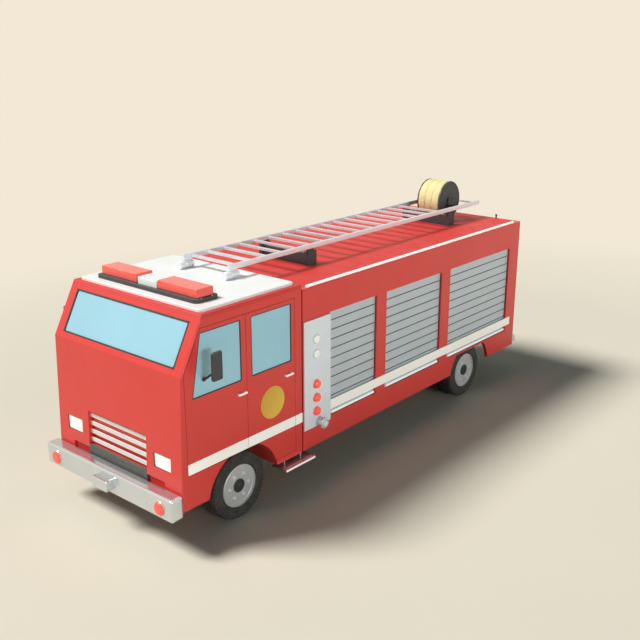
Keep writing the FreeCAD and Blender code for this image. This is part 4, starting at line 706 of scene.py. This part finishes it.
def mirrors():
    """Glass and bezel on the inner face of each mirror head."""
    glass_plate = moved(panel(box_corners(-0.053, 0.053, -0.153, 0.153), 0.0022, corner=0.016, edge=0.0006),
                        left_wall(0))
    bezel = moved(panel(box_corners(-0.0585, 0.0585, -0.1585, 0.1585), 0.0042, corner=0.020, edge=0.0012,
                        border=0.0065), left_wall(0))
    turn = Matrix.Translation((1.4222, -3.5005, 2.37)) @ Matrix.Rotation(math.pi, 4, "Z")
    show_both("mirror_glass", moved(glass_plate, turn), mirror_glass, "front_door")
    show_both("mirror_bezel", moved(bezel, turn), black_plastic, "front_door")


# Front

BUMPER_FACE_Y, BUMPER_MIDDLE_Z = -4.1474, 0.636
# Lays the XY plane on the leaning glass of the cab front.
SLANT = Matrix(((1, 0, 0, 0), (0, 0.4702, -0.8825, -3.8875), (0, 0.8825, 0.4702, 2.270), (0, 0, 0, 1)))


def windscreen_seal():
    """Rubber gasket round the screen: a lip on the glass and a wider lip over the skin."""
    inner = panel(box_corners(-1.0898, 1.0898, 0.0853, 0.6627), 0.0100, corner=0.040, border=0.014)
    lip = panel(box_corners(-1.0965, 1.0965, 0.0786, 0.6694), 0.0034, corner=0.010, edge=0.0012,
                border=0.0205)
    return moved(joined([at(inner, 0, 0, -0.0098), at(lip, 0, 0, 0.0001)]), SLANT)


def lamp_frames():
    """Narrow dark frames round the headlamps."""
    frames = []
    for middle in (0.8845, -0.8845):
        frame_piece = panel(box_corners(-0.1585, 0.1585, -0.1005, 0.1005), 0.0055, corner=0.018,
                            edge=0.0015, border=0.0075)
        frames.append(at(moved(frame_piece, front_wall(-3.9190)), middle, 0, 1.1035))
    return joined(frames)


def bumper_dressing():
    """Lamp rims and bolts on the front bumper."""
    rims = []
    bolts = []
    for side in (1, -1):
        rim = moved(ring(0.0855, 0.0965, 0.009, 0.003, 48), front_wall(0))
        rims.append(at(rim, side * 1.056, BUMPER_FACE_Y, BUMPER_MIDDLE_Z))
        for x in (0.24, 0.80):
            bolt = moved(screw_head(0.012, 0.006), front_wall(0))
            bolts.append(at(bolt, side * x, BUMPER_FACE_Y, BUMPER_MIDDLE_Z))
    return joined(rims), joined(bolts)


def front_face():
    show("windscreen_seal", windscreen_seal(), seal_rubber, "vehicle")
    show("headlamp_frames", lamp_frames(), seal_rubber, "vehicle")
    rims, bolts = bumper_dressing()
    show("bumper_lamp_rims", rims, lamp_rim, "vehicle")
    show("bumper_bolts", bolts, nut_metal, "vehicle")


# Lights on the roof

BAR_BASE_TOP_Z = 3.037
PAD_TOP_Z = 2.9908


def light_bar_dressing():
    """Rubber foot under each lens, and the base's bolts."""
    feet = []
    for middle in (0.559, -0.559):
        feet.append(at(panel(box_corners(-0.375, 0.375, -0.139, 0.139), 0.009, corner=0.02, edge=0.003,
                             border=0.016), middle, -3.161, BAR_BASE_TOP_Z))
    bolts = [at(screw_head(0.010, 0.006), side * 0.95, y, BAR_BASE_TOP_Z)
             for side in (1, -1) for y in (-3.25, -3.075)]
    return joined(feet), joined(bolts)


def pad_screws():
    """Low screws along the white roof pad's border."""
    heads = [at(screw_head(0.008, 0.003), side * 1.145, -3.40 + 0.30 * i, PAD_TOP_Z)
             for i in range(6) for side in (1, -1)]
    heads += [at(screw_head(0.008, 0.003), x, -1.872, PAD_TOP_Z) for x in (-0.75, -0.25, 0.25, 0.75)]
    return joined(heads)


def roof_lights():
    feet, bolts = light_bar_dressing()
    show("light_bar_feet", feet, seal_rubber, "vehicle")
    show("light_bar_bolts", bolts, nut_metal, "vehicle")
    show("roof_pad_screws", pad_screws(), white_paint, "vehicle")


# Body sides

BAYS = ((-1.2025, -0.1255), (0.1125, 1.5975), (1.8475, 3.7805))
BAY_LOW, BAY_TOP = 0.905, 2.445
SLAT_PITCH = 0.14
JOINT_DEPTH, JOINT_HEIGHT, JOINT_EDGE = 0.0066, 0.0180, 0.0015
RUNNER_GAP = 0.0004


def slat_joints():
    """Dark joint strip in each groove between the shutter slats."""
    strips = []
    for i in range(1, 11):
        z = BAY_LOW + 0.0003 + SLAT_PITCH * i
        for y0, y1 in BAYS:
            size = (JOINT_DEPTH, y1 - y0 - 0.034, JOINT_HEIGHT)
            strips += both(block(size, (1.2101, (y0 + y1) / 2, z), JOINT_EDGE, 1))
        strips.append(block((1.606, JOINT_DEPTH, JOINT_HEIGHT), (0, 4.0731, z), JOINT_EDGE, 1))
    return joined(strips)


def shutter_runners():
    """Frame of side channels, sill and head seal in each locker opening."""
    bottom, top = BAY_LOW + RUNNER_GAP, BAY_TOP - RUNNER_GAP
    runners = []
    for y0, y1 in BAYS:
        border = panel(box_corners(y0 + RUNNER_GAP, y1 - RUNNER_GAP, bottom, top), 0.012, edge=0.003,
                       border=0.014)
        runners += both(moved(border, left_wall(1.2123)))
    border = panel(box_corners(-0.8196, 0.8196, bottom, top), 0.012, edge=0.003, border=0.014)
    runners.append(moved(border, rear_wall(4.0753)))
    return joined(runners)


def panel_dressing():
    """Screws and lamp rims on the left pump panel."""
    screws = []
    rims = []
    for y in (-1.7375, -1.2228):
        for i in range(7):
            screw = moved(screw_head(0.0085, 0.0035), left_wall(0))
            screws.append(at(screw, 1.275, y, BAY_LOW + 0.245 * i))
    for z, radius in ((2.145, 0.058), (1.935, 0.058), (1.500, 0.062), (1.300, 0.062), (1.100, 0.062)):
        rim = moved(ring(radius + 0.0006, radius + 0.0085, 0.008, 0.0025, 40), left_wall(0))
        rims.append(at(rim, 1.2748, -1.5175, z))
    return joined(screws), joined(rims)


def outlet_cap():
    """Blank cap over the water outlet: knurled grips round a dished face."""
    cap = turned([(0, 0.0415), (0.040, 0.0415), (0.047, 0.0448), (0.066, 0.0448), (0.0765, 0.0400),
                  (0.0765, 0.0030), (0.0740, 0.0004), (0.0510, 0.0004)], 48)
    grips = []
    for i in range(12):
        turn = Matrix.Rotation(math.radians(30 * i + 15), 4, "Z")
        grips.append(moved(block((0.007, 0.020, 0.032), (0.0785, 0, 0.0215), 0.003, 2), turn))
    return at(moved(joined([cap] + grips), left_wall(0)), 1.3497, -1.4575, 0.925)


def step_treads():
    """Raised tread bars on the cab steps and the rear bumper."""
    bars = []
    for i in range(11):
        y = -2.2125 + 0.05 * i
        bars += both(block((0.215, 0.011, 0.004), (1.258, y, 0.5075), 0.0015, 1))
    for i in range(-22, 23):
        bars.append(block((0.011, 0.100, 0.004), (i * 0.05, 4.1825, 0.7125), 0.0015, 1))
    return joined(bars)


def tail_lamp_rims():
    """Bright rim round each tail lamp."""
    rims = []
    for side in (1, -1):
        for z in (0.90, 1.07, 1.24):
            rims.append(at(moved(ring(0.0626, 0.0706, 0.008, 0.0025, 40), rear_wall(0)),
                           side * 1.12, 4.1124, z))
    return joined(rims)


def body_dressing():
    show("slat_joints", slat_joints(), joint_rubber, "vehicle")
    show("shutter_runners", shutter_runners(), runner_metal, "vehicle")
    screws, rims = panel_dressing()
    show("pump_panel_screws", screws, nut_metal, "vehicle")
    show("panel_lamp_rims", rims, lamp_rim, "vehicle")
    show_both("outlet_cap", outlet_cap(), chrome, "vehicle")
    show("tread_bars", step_treads(), chrome, "vehicle")
    # A white strip with a painted glow along each step's outer edge: painted highlight.
    show_both("step_nosing", block((0.006, 0.584, 0.030), (1.3855, -1.9625, 0.4925), 0.0028),
              white_painted_glow, "vehicle")
    show("tail_lamp_rims", tail_lamp_rims(), lamp_rim, "vehicle")


# Ladder and reel

LADDER_Z = 3.149
RAIL_X = 0.444
RUNG_STATIONS = [-2.1485 + 0.304 * i for i in range(17)] + [3.9005]


def rung_grips():
    """Ribbed sleeve along each rung."""
    ribs = []
    for y in RUNG_STATIONS:
        for i in range(-12, 13):
            ribs.append(block((0.012, 0.0515, 0.0332), (i * 0.031, y, LADDER_Z), 0.0045, 1))
    return joined(ribs)


def rail_plugs():
    """Rubber plugs in the rails' rear ends."""
    return joined([block((0.036, 0.012, 0.062), (side * RAIL_X, 3.9955, LADDER_Z), 0.005, 2)
                   for side in (1, -1)])


def roller_pins():
    """Pin heads on both faces of each front roller."""
    pins = []
    for side in (1, -1):
        for face in (1, -1):
            pin = moved(disc(0.020, 0.007, 0.003, 24), Matrix.Rotation(math.pi / 2 * face, 4, "Y"))
            pins.append(at(pin, side * RAIL_X + face * 0.054, -2.2665, 3.045))
    return joined(pins)


def stand_bolts():
    """Bolts of the saddles and the reel stand, and the angles at the stand's feet."""
    bolts = [at(hex_nut(0.012, 0.011), side * 0.33, y, 3.0548)
             for side in (1, -1) for y in (-0.7065, 2.9905)]
    angles = []
    for side in (1, -1):
        angles.append(block((0.046, 0.188, 0.006), (side * 0.2712, REEL_Y, 2.8832), 0.0015, 1))
        angles.append(block((0.006, 0.188, 0.046), (side * 0.2512, REEL_Y, 2.9032), 0.0015, 1))
        bolts += [at(hex_nut(0.010, 0.009), side * 0.276, REEL_Y + step, 2.8860)
                  for step in (-0.065, 0, 0.065)]
    return joined(bolts), joined(angles)


def reel_dressing():
    """Rolled rims, hub plates and bolts on the reel's outer faces, and a light ring on each rim, a painted
    highlight along its edge.
    """
    parts = []
    rings = []
    for side in (1, -1):
        turn = Matrix.Rotation(math.pi / 2 * side, 4, "Y")
        rim = turned([(0.3392, 0.0), (0.3392, 0.003), (0.334, 0.0045), (0.325, 0.003), (0.325, 0.0)],
                     96, closed=True)
        inner = turned([(0.120, 0.0), (0.120, 0.0022), (0.115, 0.0035), (0.110, 0.0022), (0.110, 0.0)],
                       64, closed=True)
        bolts = circle_of(screw_head(0.010, 0.004), 6, 0.085)
        parts.append(at(moved(joined([rim, inner] + bolts), turn), side * 0.2219, REEL_Y, REEL_Z))
        # A light grey ring round the rim's edge: painted highlight.
        bright_edge = ring(0.3398, 0.3436, 0.0016, 0.0006, 96)
        rings.append(at(moved(bright_edge, turn), side * 0.2216, REEL_Y, REEL_Z))
    return joined(parts), joined(rings)


def wound_hose():
    """Three crowned bands of flat hose, each with its turns side by side."""
    bands = []
    lanes = 5
    width = 0.1365
    for middle in (-0.1373, 0.0, 0.1373):
        outline = [(0.100, middle + width / 2), (0.100, middle - width / 2)]
        for lane in range(lanes):
            for share in (0.04, 0.2, 0.5, 0.8, 0.96):
                across = (lane + share) / lanes * 2 - 1
                crown = 0.3335 + 0.0090 * math.sqrt(max(0.0, 1 - across * across * 0.97))
                dip = 0.0030 * (abs(share - 0.5) * 2) ** 3
                outline.append((crown - dip, middle + across * width / 2))
        bands.append(turned(outline, 120, closed=True))
    whole = joined(bands)
    return moved(whole, Matrix.Translation((0, REEL_Y, REEL_Z)) @ Matrix.Rotation(math.pi / 2, 4, "Y"))


def ladder_and_reel():
    show("rung_grips", rung_grips(), rung_metal, "ladder")
    show("rail_plugs", rail_plugs(), seal_rubber, "ladder")
    show("roller_pins", roller_pins(), nut_metal, "ladder")
    bolts, angles = stand_bolts()
    show("stand_bolts", bolts, nut_metal, "vehicle")
    show("stand_angles", angles, black_plastic, "vehicle")
    dressing, rings = reel_dressing()
    show("reel_dressing", dressing, reel_black, "hose_reel")
    # Rings on the reel rims: painted highlight.
    show("reel_painted_highlight_rings", rings, wheel_paint, "hose_reel")
    show("wound_hose", wound_hose(), hose_weave, "hose_reel", ["hose_winding"])


# Seats and driver's place

DRIVER_X = 0.77
# Name, X of the middle, Y of the front, Z of the floor and Z of the base's top.
SEATS = (("driver", DRIVER_X, -3.3225, 1.04, 1.30), ("mate", -DRIVER_X, -3.3225, 1.04, 1.30),
         ("rear_left", 0.83, -2.3928, 0.70, 1.03), ("rear_right", -0.83, -2.3928, 0.70, 1.03))
CHANNELS = (-0.125, 0.0, 0.125)


def stuffed(size, cap, rounds):
    """Foam block swollen by cloth pressure, with a crowned face and sides drawn in at the corners."""
    bm = block(size, (0, 0, 0), rounds, 3)
    mesh = bpy.data.meshes.new("pad_form")
    bm.to_mesh(mesh)
    bm.free()
    form = bpy.data.objects.new("pad_form", mesh)
    scene = bpy.context.scene
    scene.collection.objects.link(form)
    remesh = form.modifiers.new("even", "REMESH")
    remesh.mode = "VOXEL"
    remesh.voxel_size = 0.012
    graph = bpy.context.evaluated_depsgraph_get()
    even = bpy.data.meshes.new_from_object(form.evaluated_get(graph))
    form.modifiers.clear()
    form.data = even
    start = [v.co.copy() for v in even.vertices]
    cloth = form.modifiers.new("foam", "CLOTH")
    cloth.settings.use_pressure = True
    cloth.settings.uniform_pressure_force = 4.0
    cloth.settings.effector_weights.gravity = 0.0
    cloth.settings.quality = 4
    for step in range(1, 21):
        scene.frame_set(step)
    graph = bpy.context.evaluated_depsgraph_get()
    swollen = bpy.data.meshes.new_from_object(form.evaluated_get(graph))
    form.modifiers.clear()
    scene.frame_set(1)
    for vertex, old in zip(swollen.vertices, start):
        step = vertex.co - old
        vertex.co = old + step * min(1.0, cap / max(step.length, 1e-9))
    form.data = swollen
    bm = bmesh.new()
    bm.from_mesh(form.data)
    bpy.data.objects.remove(form)
    bmesh.ops.smooth_vert(bm, verts=bm.verts, factor=0.5, use_axis_x=True, use_axis_y=True, use_axis_z=True)
    return bm


def sew(bm, half, channels):
    """Draw the cover down along its sewn channels: lines at given places across the X axis."""
    seam = 0.011
    for vertex in bm.verts:
        x, y, z = vertex.co
        if z > 0:
            for place in channels:
                fall = math.exp(-((x - place) / seam) ** 2)
                vertex.co.z -= seam * fall * min(1.0, max(0.0, (half - abs(y)) / 0.05))
    return bm


def seats():
    """Four seats: stuffed cushion and back on a boxed base."""
    cushion = sew(stuffed((0.490, 0.402, 0.112), 0.013, 0.030), 0.18, CHANNELS)
    back = sew(stuffed((0.490, 0.670, 0.100), 0.012, 0.028), 0.31, CHANNELS)
    bases = []
    for label, x, y0, floor_z, pad_z in SEATS:
        seat_pad = at(cushion.copy(), x, y0 + 0.2155, pad_z + 0.07)
        back_pad = at(moved(back.copy(), Matrix.Rotation(math.pi / 2, 4, "X")),
                      x, y0 + 0.50, pad_z + 0.42)
        pad = show(f"{label}_seat_cushion", seat_pad, seat_fabric, "vehicle", ["seats"])
        rest = show(f"{label}_seat_back", back_pad, seat_fabric, "vehicle", ["seats"])
        for soft in (pad, rest):
            smooth = soft.modifiers.new("smooth", "SUBSURF")
            smooth.levels = smooth.render_levels = 1
        height = pad_z - floor_z
        bases.append(block((0.39, 0.305, height - 0.012), (x, y0 + 0.2825, floor_z + height / 2 - 0.0056),
                           0.012, 2))
        bases.append(block((0.45, 0.42, 0.018), (x, y0 + 0.22, pad_z - 0.009), 0.006, 2))
        bases.append(block((0.40, 0.022, 0.30), (x, y0 + 0.552, pad_z + 0.11), 0.006, 2))
    show("seat_bases", joined(bases), trim_plastic, "vehicle", ["seats"])
    cushion.free()
    back.free()


def drivers_place():
    """Instrument hood with plain dials, and air vents."""
    hood = block((0.38, 0.15, 0.055), (DRIVER_X, -3.705, 1.9275), 0.020, 3)
    dials = []
    for i in (-1, 0, 1):
        dial = moved(ring(0.017, 0.022, 0.006, 0.002, 32), rear_wall(0))
        dials.append(at(dial, DRIVER_X + i * 0.085, -3.6302, 1.9275))
    vents = []
    for x in (-0.95, -0.30, 0.30):
        for k in range(4):
            vents.append(block((0.150, 0.012, 0.004), (x, -3.52 - k * 0.016, 1.9015), 0.001, 1))
    show("instrument_hood", hood, trim_plastic, "vehicle")
    show("dials", joined(dials), lamp_rim, "vehicle")
    show("air_vents", joined(vents), seal_rubber, "vehicle")


wheels()
doors()
mirrors()
front_face()
roof_lights()
body_dressing()
ladder_and_reel()
seats()
drivers_place()


# Camera, light and floor

def to_linear(rgb):
    """Screen colour from 0 to 255 as linear light."""
    return tuple(((c / 255 + 0.055) / 1.055) ** 2.4 if c / 255 > 0.04045 else c / 255 / 12.92
                 for c in rgb)


camera = bpy.data.objects.new("camera", bpy.data.cameras.new("camera"))
bpy.context.scene.collection.objects.link(camera)
camera.location = (8.633, -10.1045, 6.034)
camera.rotation_euler = (math.radians(90 - 17.757), 0, math.radians(40.334))
camera.data.lens = 50.0
camera.data.sensor_width = 36.0
camera.data.clip_end = 500.0
bpy.context.scene.camera = camera


def far_lamp(name, towards, spread_deg, strength, colour):
    """Large soft lamp far away in the given direction; the spread is how wide it looks."""
    data = bpy.data.lights.new(name, "SUN")
    data.angle = math.radians(spread_deg)
    data.energy = strength
    data.color = colour
    lamp = bpy.data.objects.new(name, data)
    lamp.location = Vector(towards) * 30
    lamp.rotation_euler = (-Vector(towards)).to_track_quat("-Z", "Y").to_euler()
    bpy.context.scene.collection.objects.link(lamp)


CREAM = to_linear((242, 232, 213))


def seen_directly(tree):
    """1 for what the camera, a reflection or clear glass looks at; 0 for light falling on the object."""
    path = tree.nodes.new("ShaderNodeLightPath")
    total = maths(tree, "ADD", path.outputs["Is Camera Ray"], path.outputs["Is Glossy Ray"])
    total = maths(tree, "ADD", total, path.outputs["Is Transmission Ray"])
    return maths(tree, "MINIMUM", total, 1.0)


def blend_into(tree, output, factor, first, second):
    """Mix two shaders and send the result to the output node of the given type."""
    blend = tree.nodes.new("ShaderNodeMixShader")
    for socket, value in zip(blend.inputs, (factor, first, second)):
        tree.links.new(value, socket)
    tree.links.new(blend.outputs[0], next(n for n in tree.nodes if n.type == output).inputs["Surface"])


far_lamp("key", (-0.56, -0.56, 1.0), 19.0, 3.72, (1.0, 0.99, 0.975))
far_lamp("fill", (1.0, -0.12, 0.08), 22.0, 1.46, (0.98, 0.99, 1.0))

world = bpy.data.worlds.new("world")
world.use_nodes = True
tree = world.node_tree
backdrop = next(n for n in tree.nodes if n.type == "BACKGROUND")
backdrop.inputs["Color"].default_value = (*CREAM, 1)
backdrop.inputs["Strength"].default_value = 1.0
# A cool soft light balances the red that the body throws onto the floor.
soft = tree.nodes.new("ShaderNodeBackground")
soft.inputs["Color"].default_value = (0.50, 0.92, 1.0, 1)
soft.inputs["Strength"].default_value = 0.085
blend_into(tree, "OUTPUT_WORLD", seen_directly(tree), soft.outputs[0], backdrop.outputs[0])
bpy.context.scene.world = world
bpy.context.scene.view_settings.view_transform = "Standard"


def studio_floor():
    """Pale paper floor that runs into the backdrop's colour away from the vehicle."""
    bm = bmesh.new()
    bmesh.ops.create_circle(bm, cap_ends=True, segments=96, radius=140.0)
    mesh = bpy.data.meshes.new("floor")
    bm.to_mesh(mesh)
    bm.free()
    floor = bpy.data.objects.new("floor", mesh)
    bpy.context.scene.collection.objects.link(floor)
    mat, tree, shader = new_material("floor_paper")
    place = coords(tree)
    tone = ramp(tree, noise(tree, place, 0.6, 3), (0.730, 0.679, 0.558), (0.741, 0.690, 0.569), 0.3, 0.7)
    tree.links.new(tone, shader.inputs["Base Color"])
    shader.inputs["Roughness"].default_value = 0.95
    shader.inputs["Specular IOR Level"].default_value = 0.1
    reach = tree.nodes.new("ShaderNodeVectorMath")
    reach.operation = "LENGTH"
    tree.links.new(mapping(tree, place, (0.9, 0.9, 1), shift=(-1.2, -2.0, 0)), reach.inputs[0])
    far = ramp(tree, maths(tree, "DIVIDE", reach.outputs["Value"], 30.0), 0.0, 1.0, 0.20, 0.42)
    plain = tree.nodes.new("ShaderNodeEmission")
    plain.inputs["Color"].default_value = (*CREAM, 1)
    blend_into(tree, "OUTPUT_MATERIAL", maths(tree, "MULTIPLY", far, seen_directly(tree)),
               shader.outputs[0], plain.outputs[0])
    dress(floor, mat)


studio_floor()
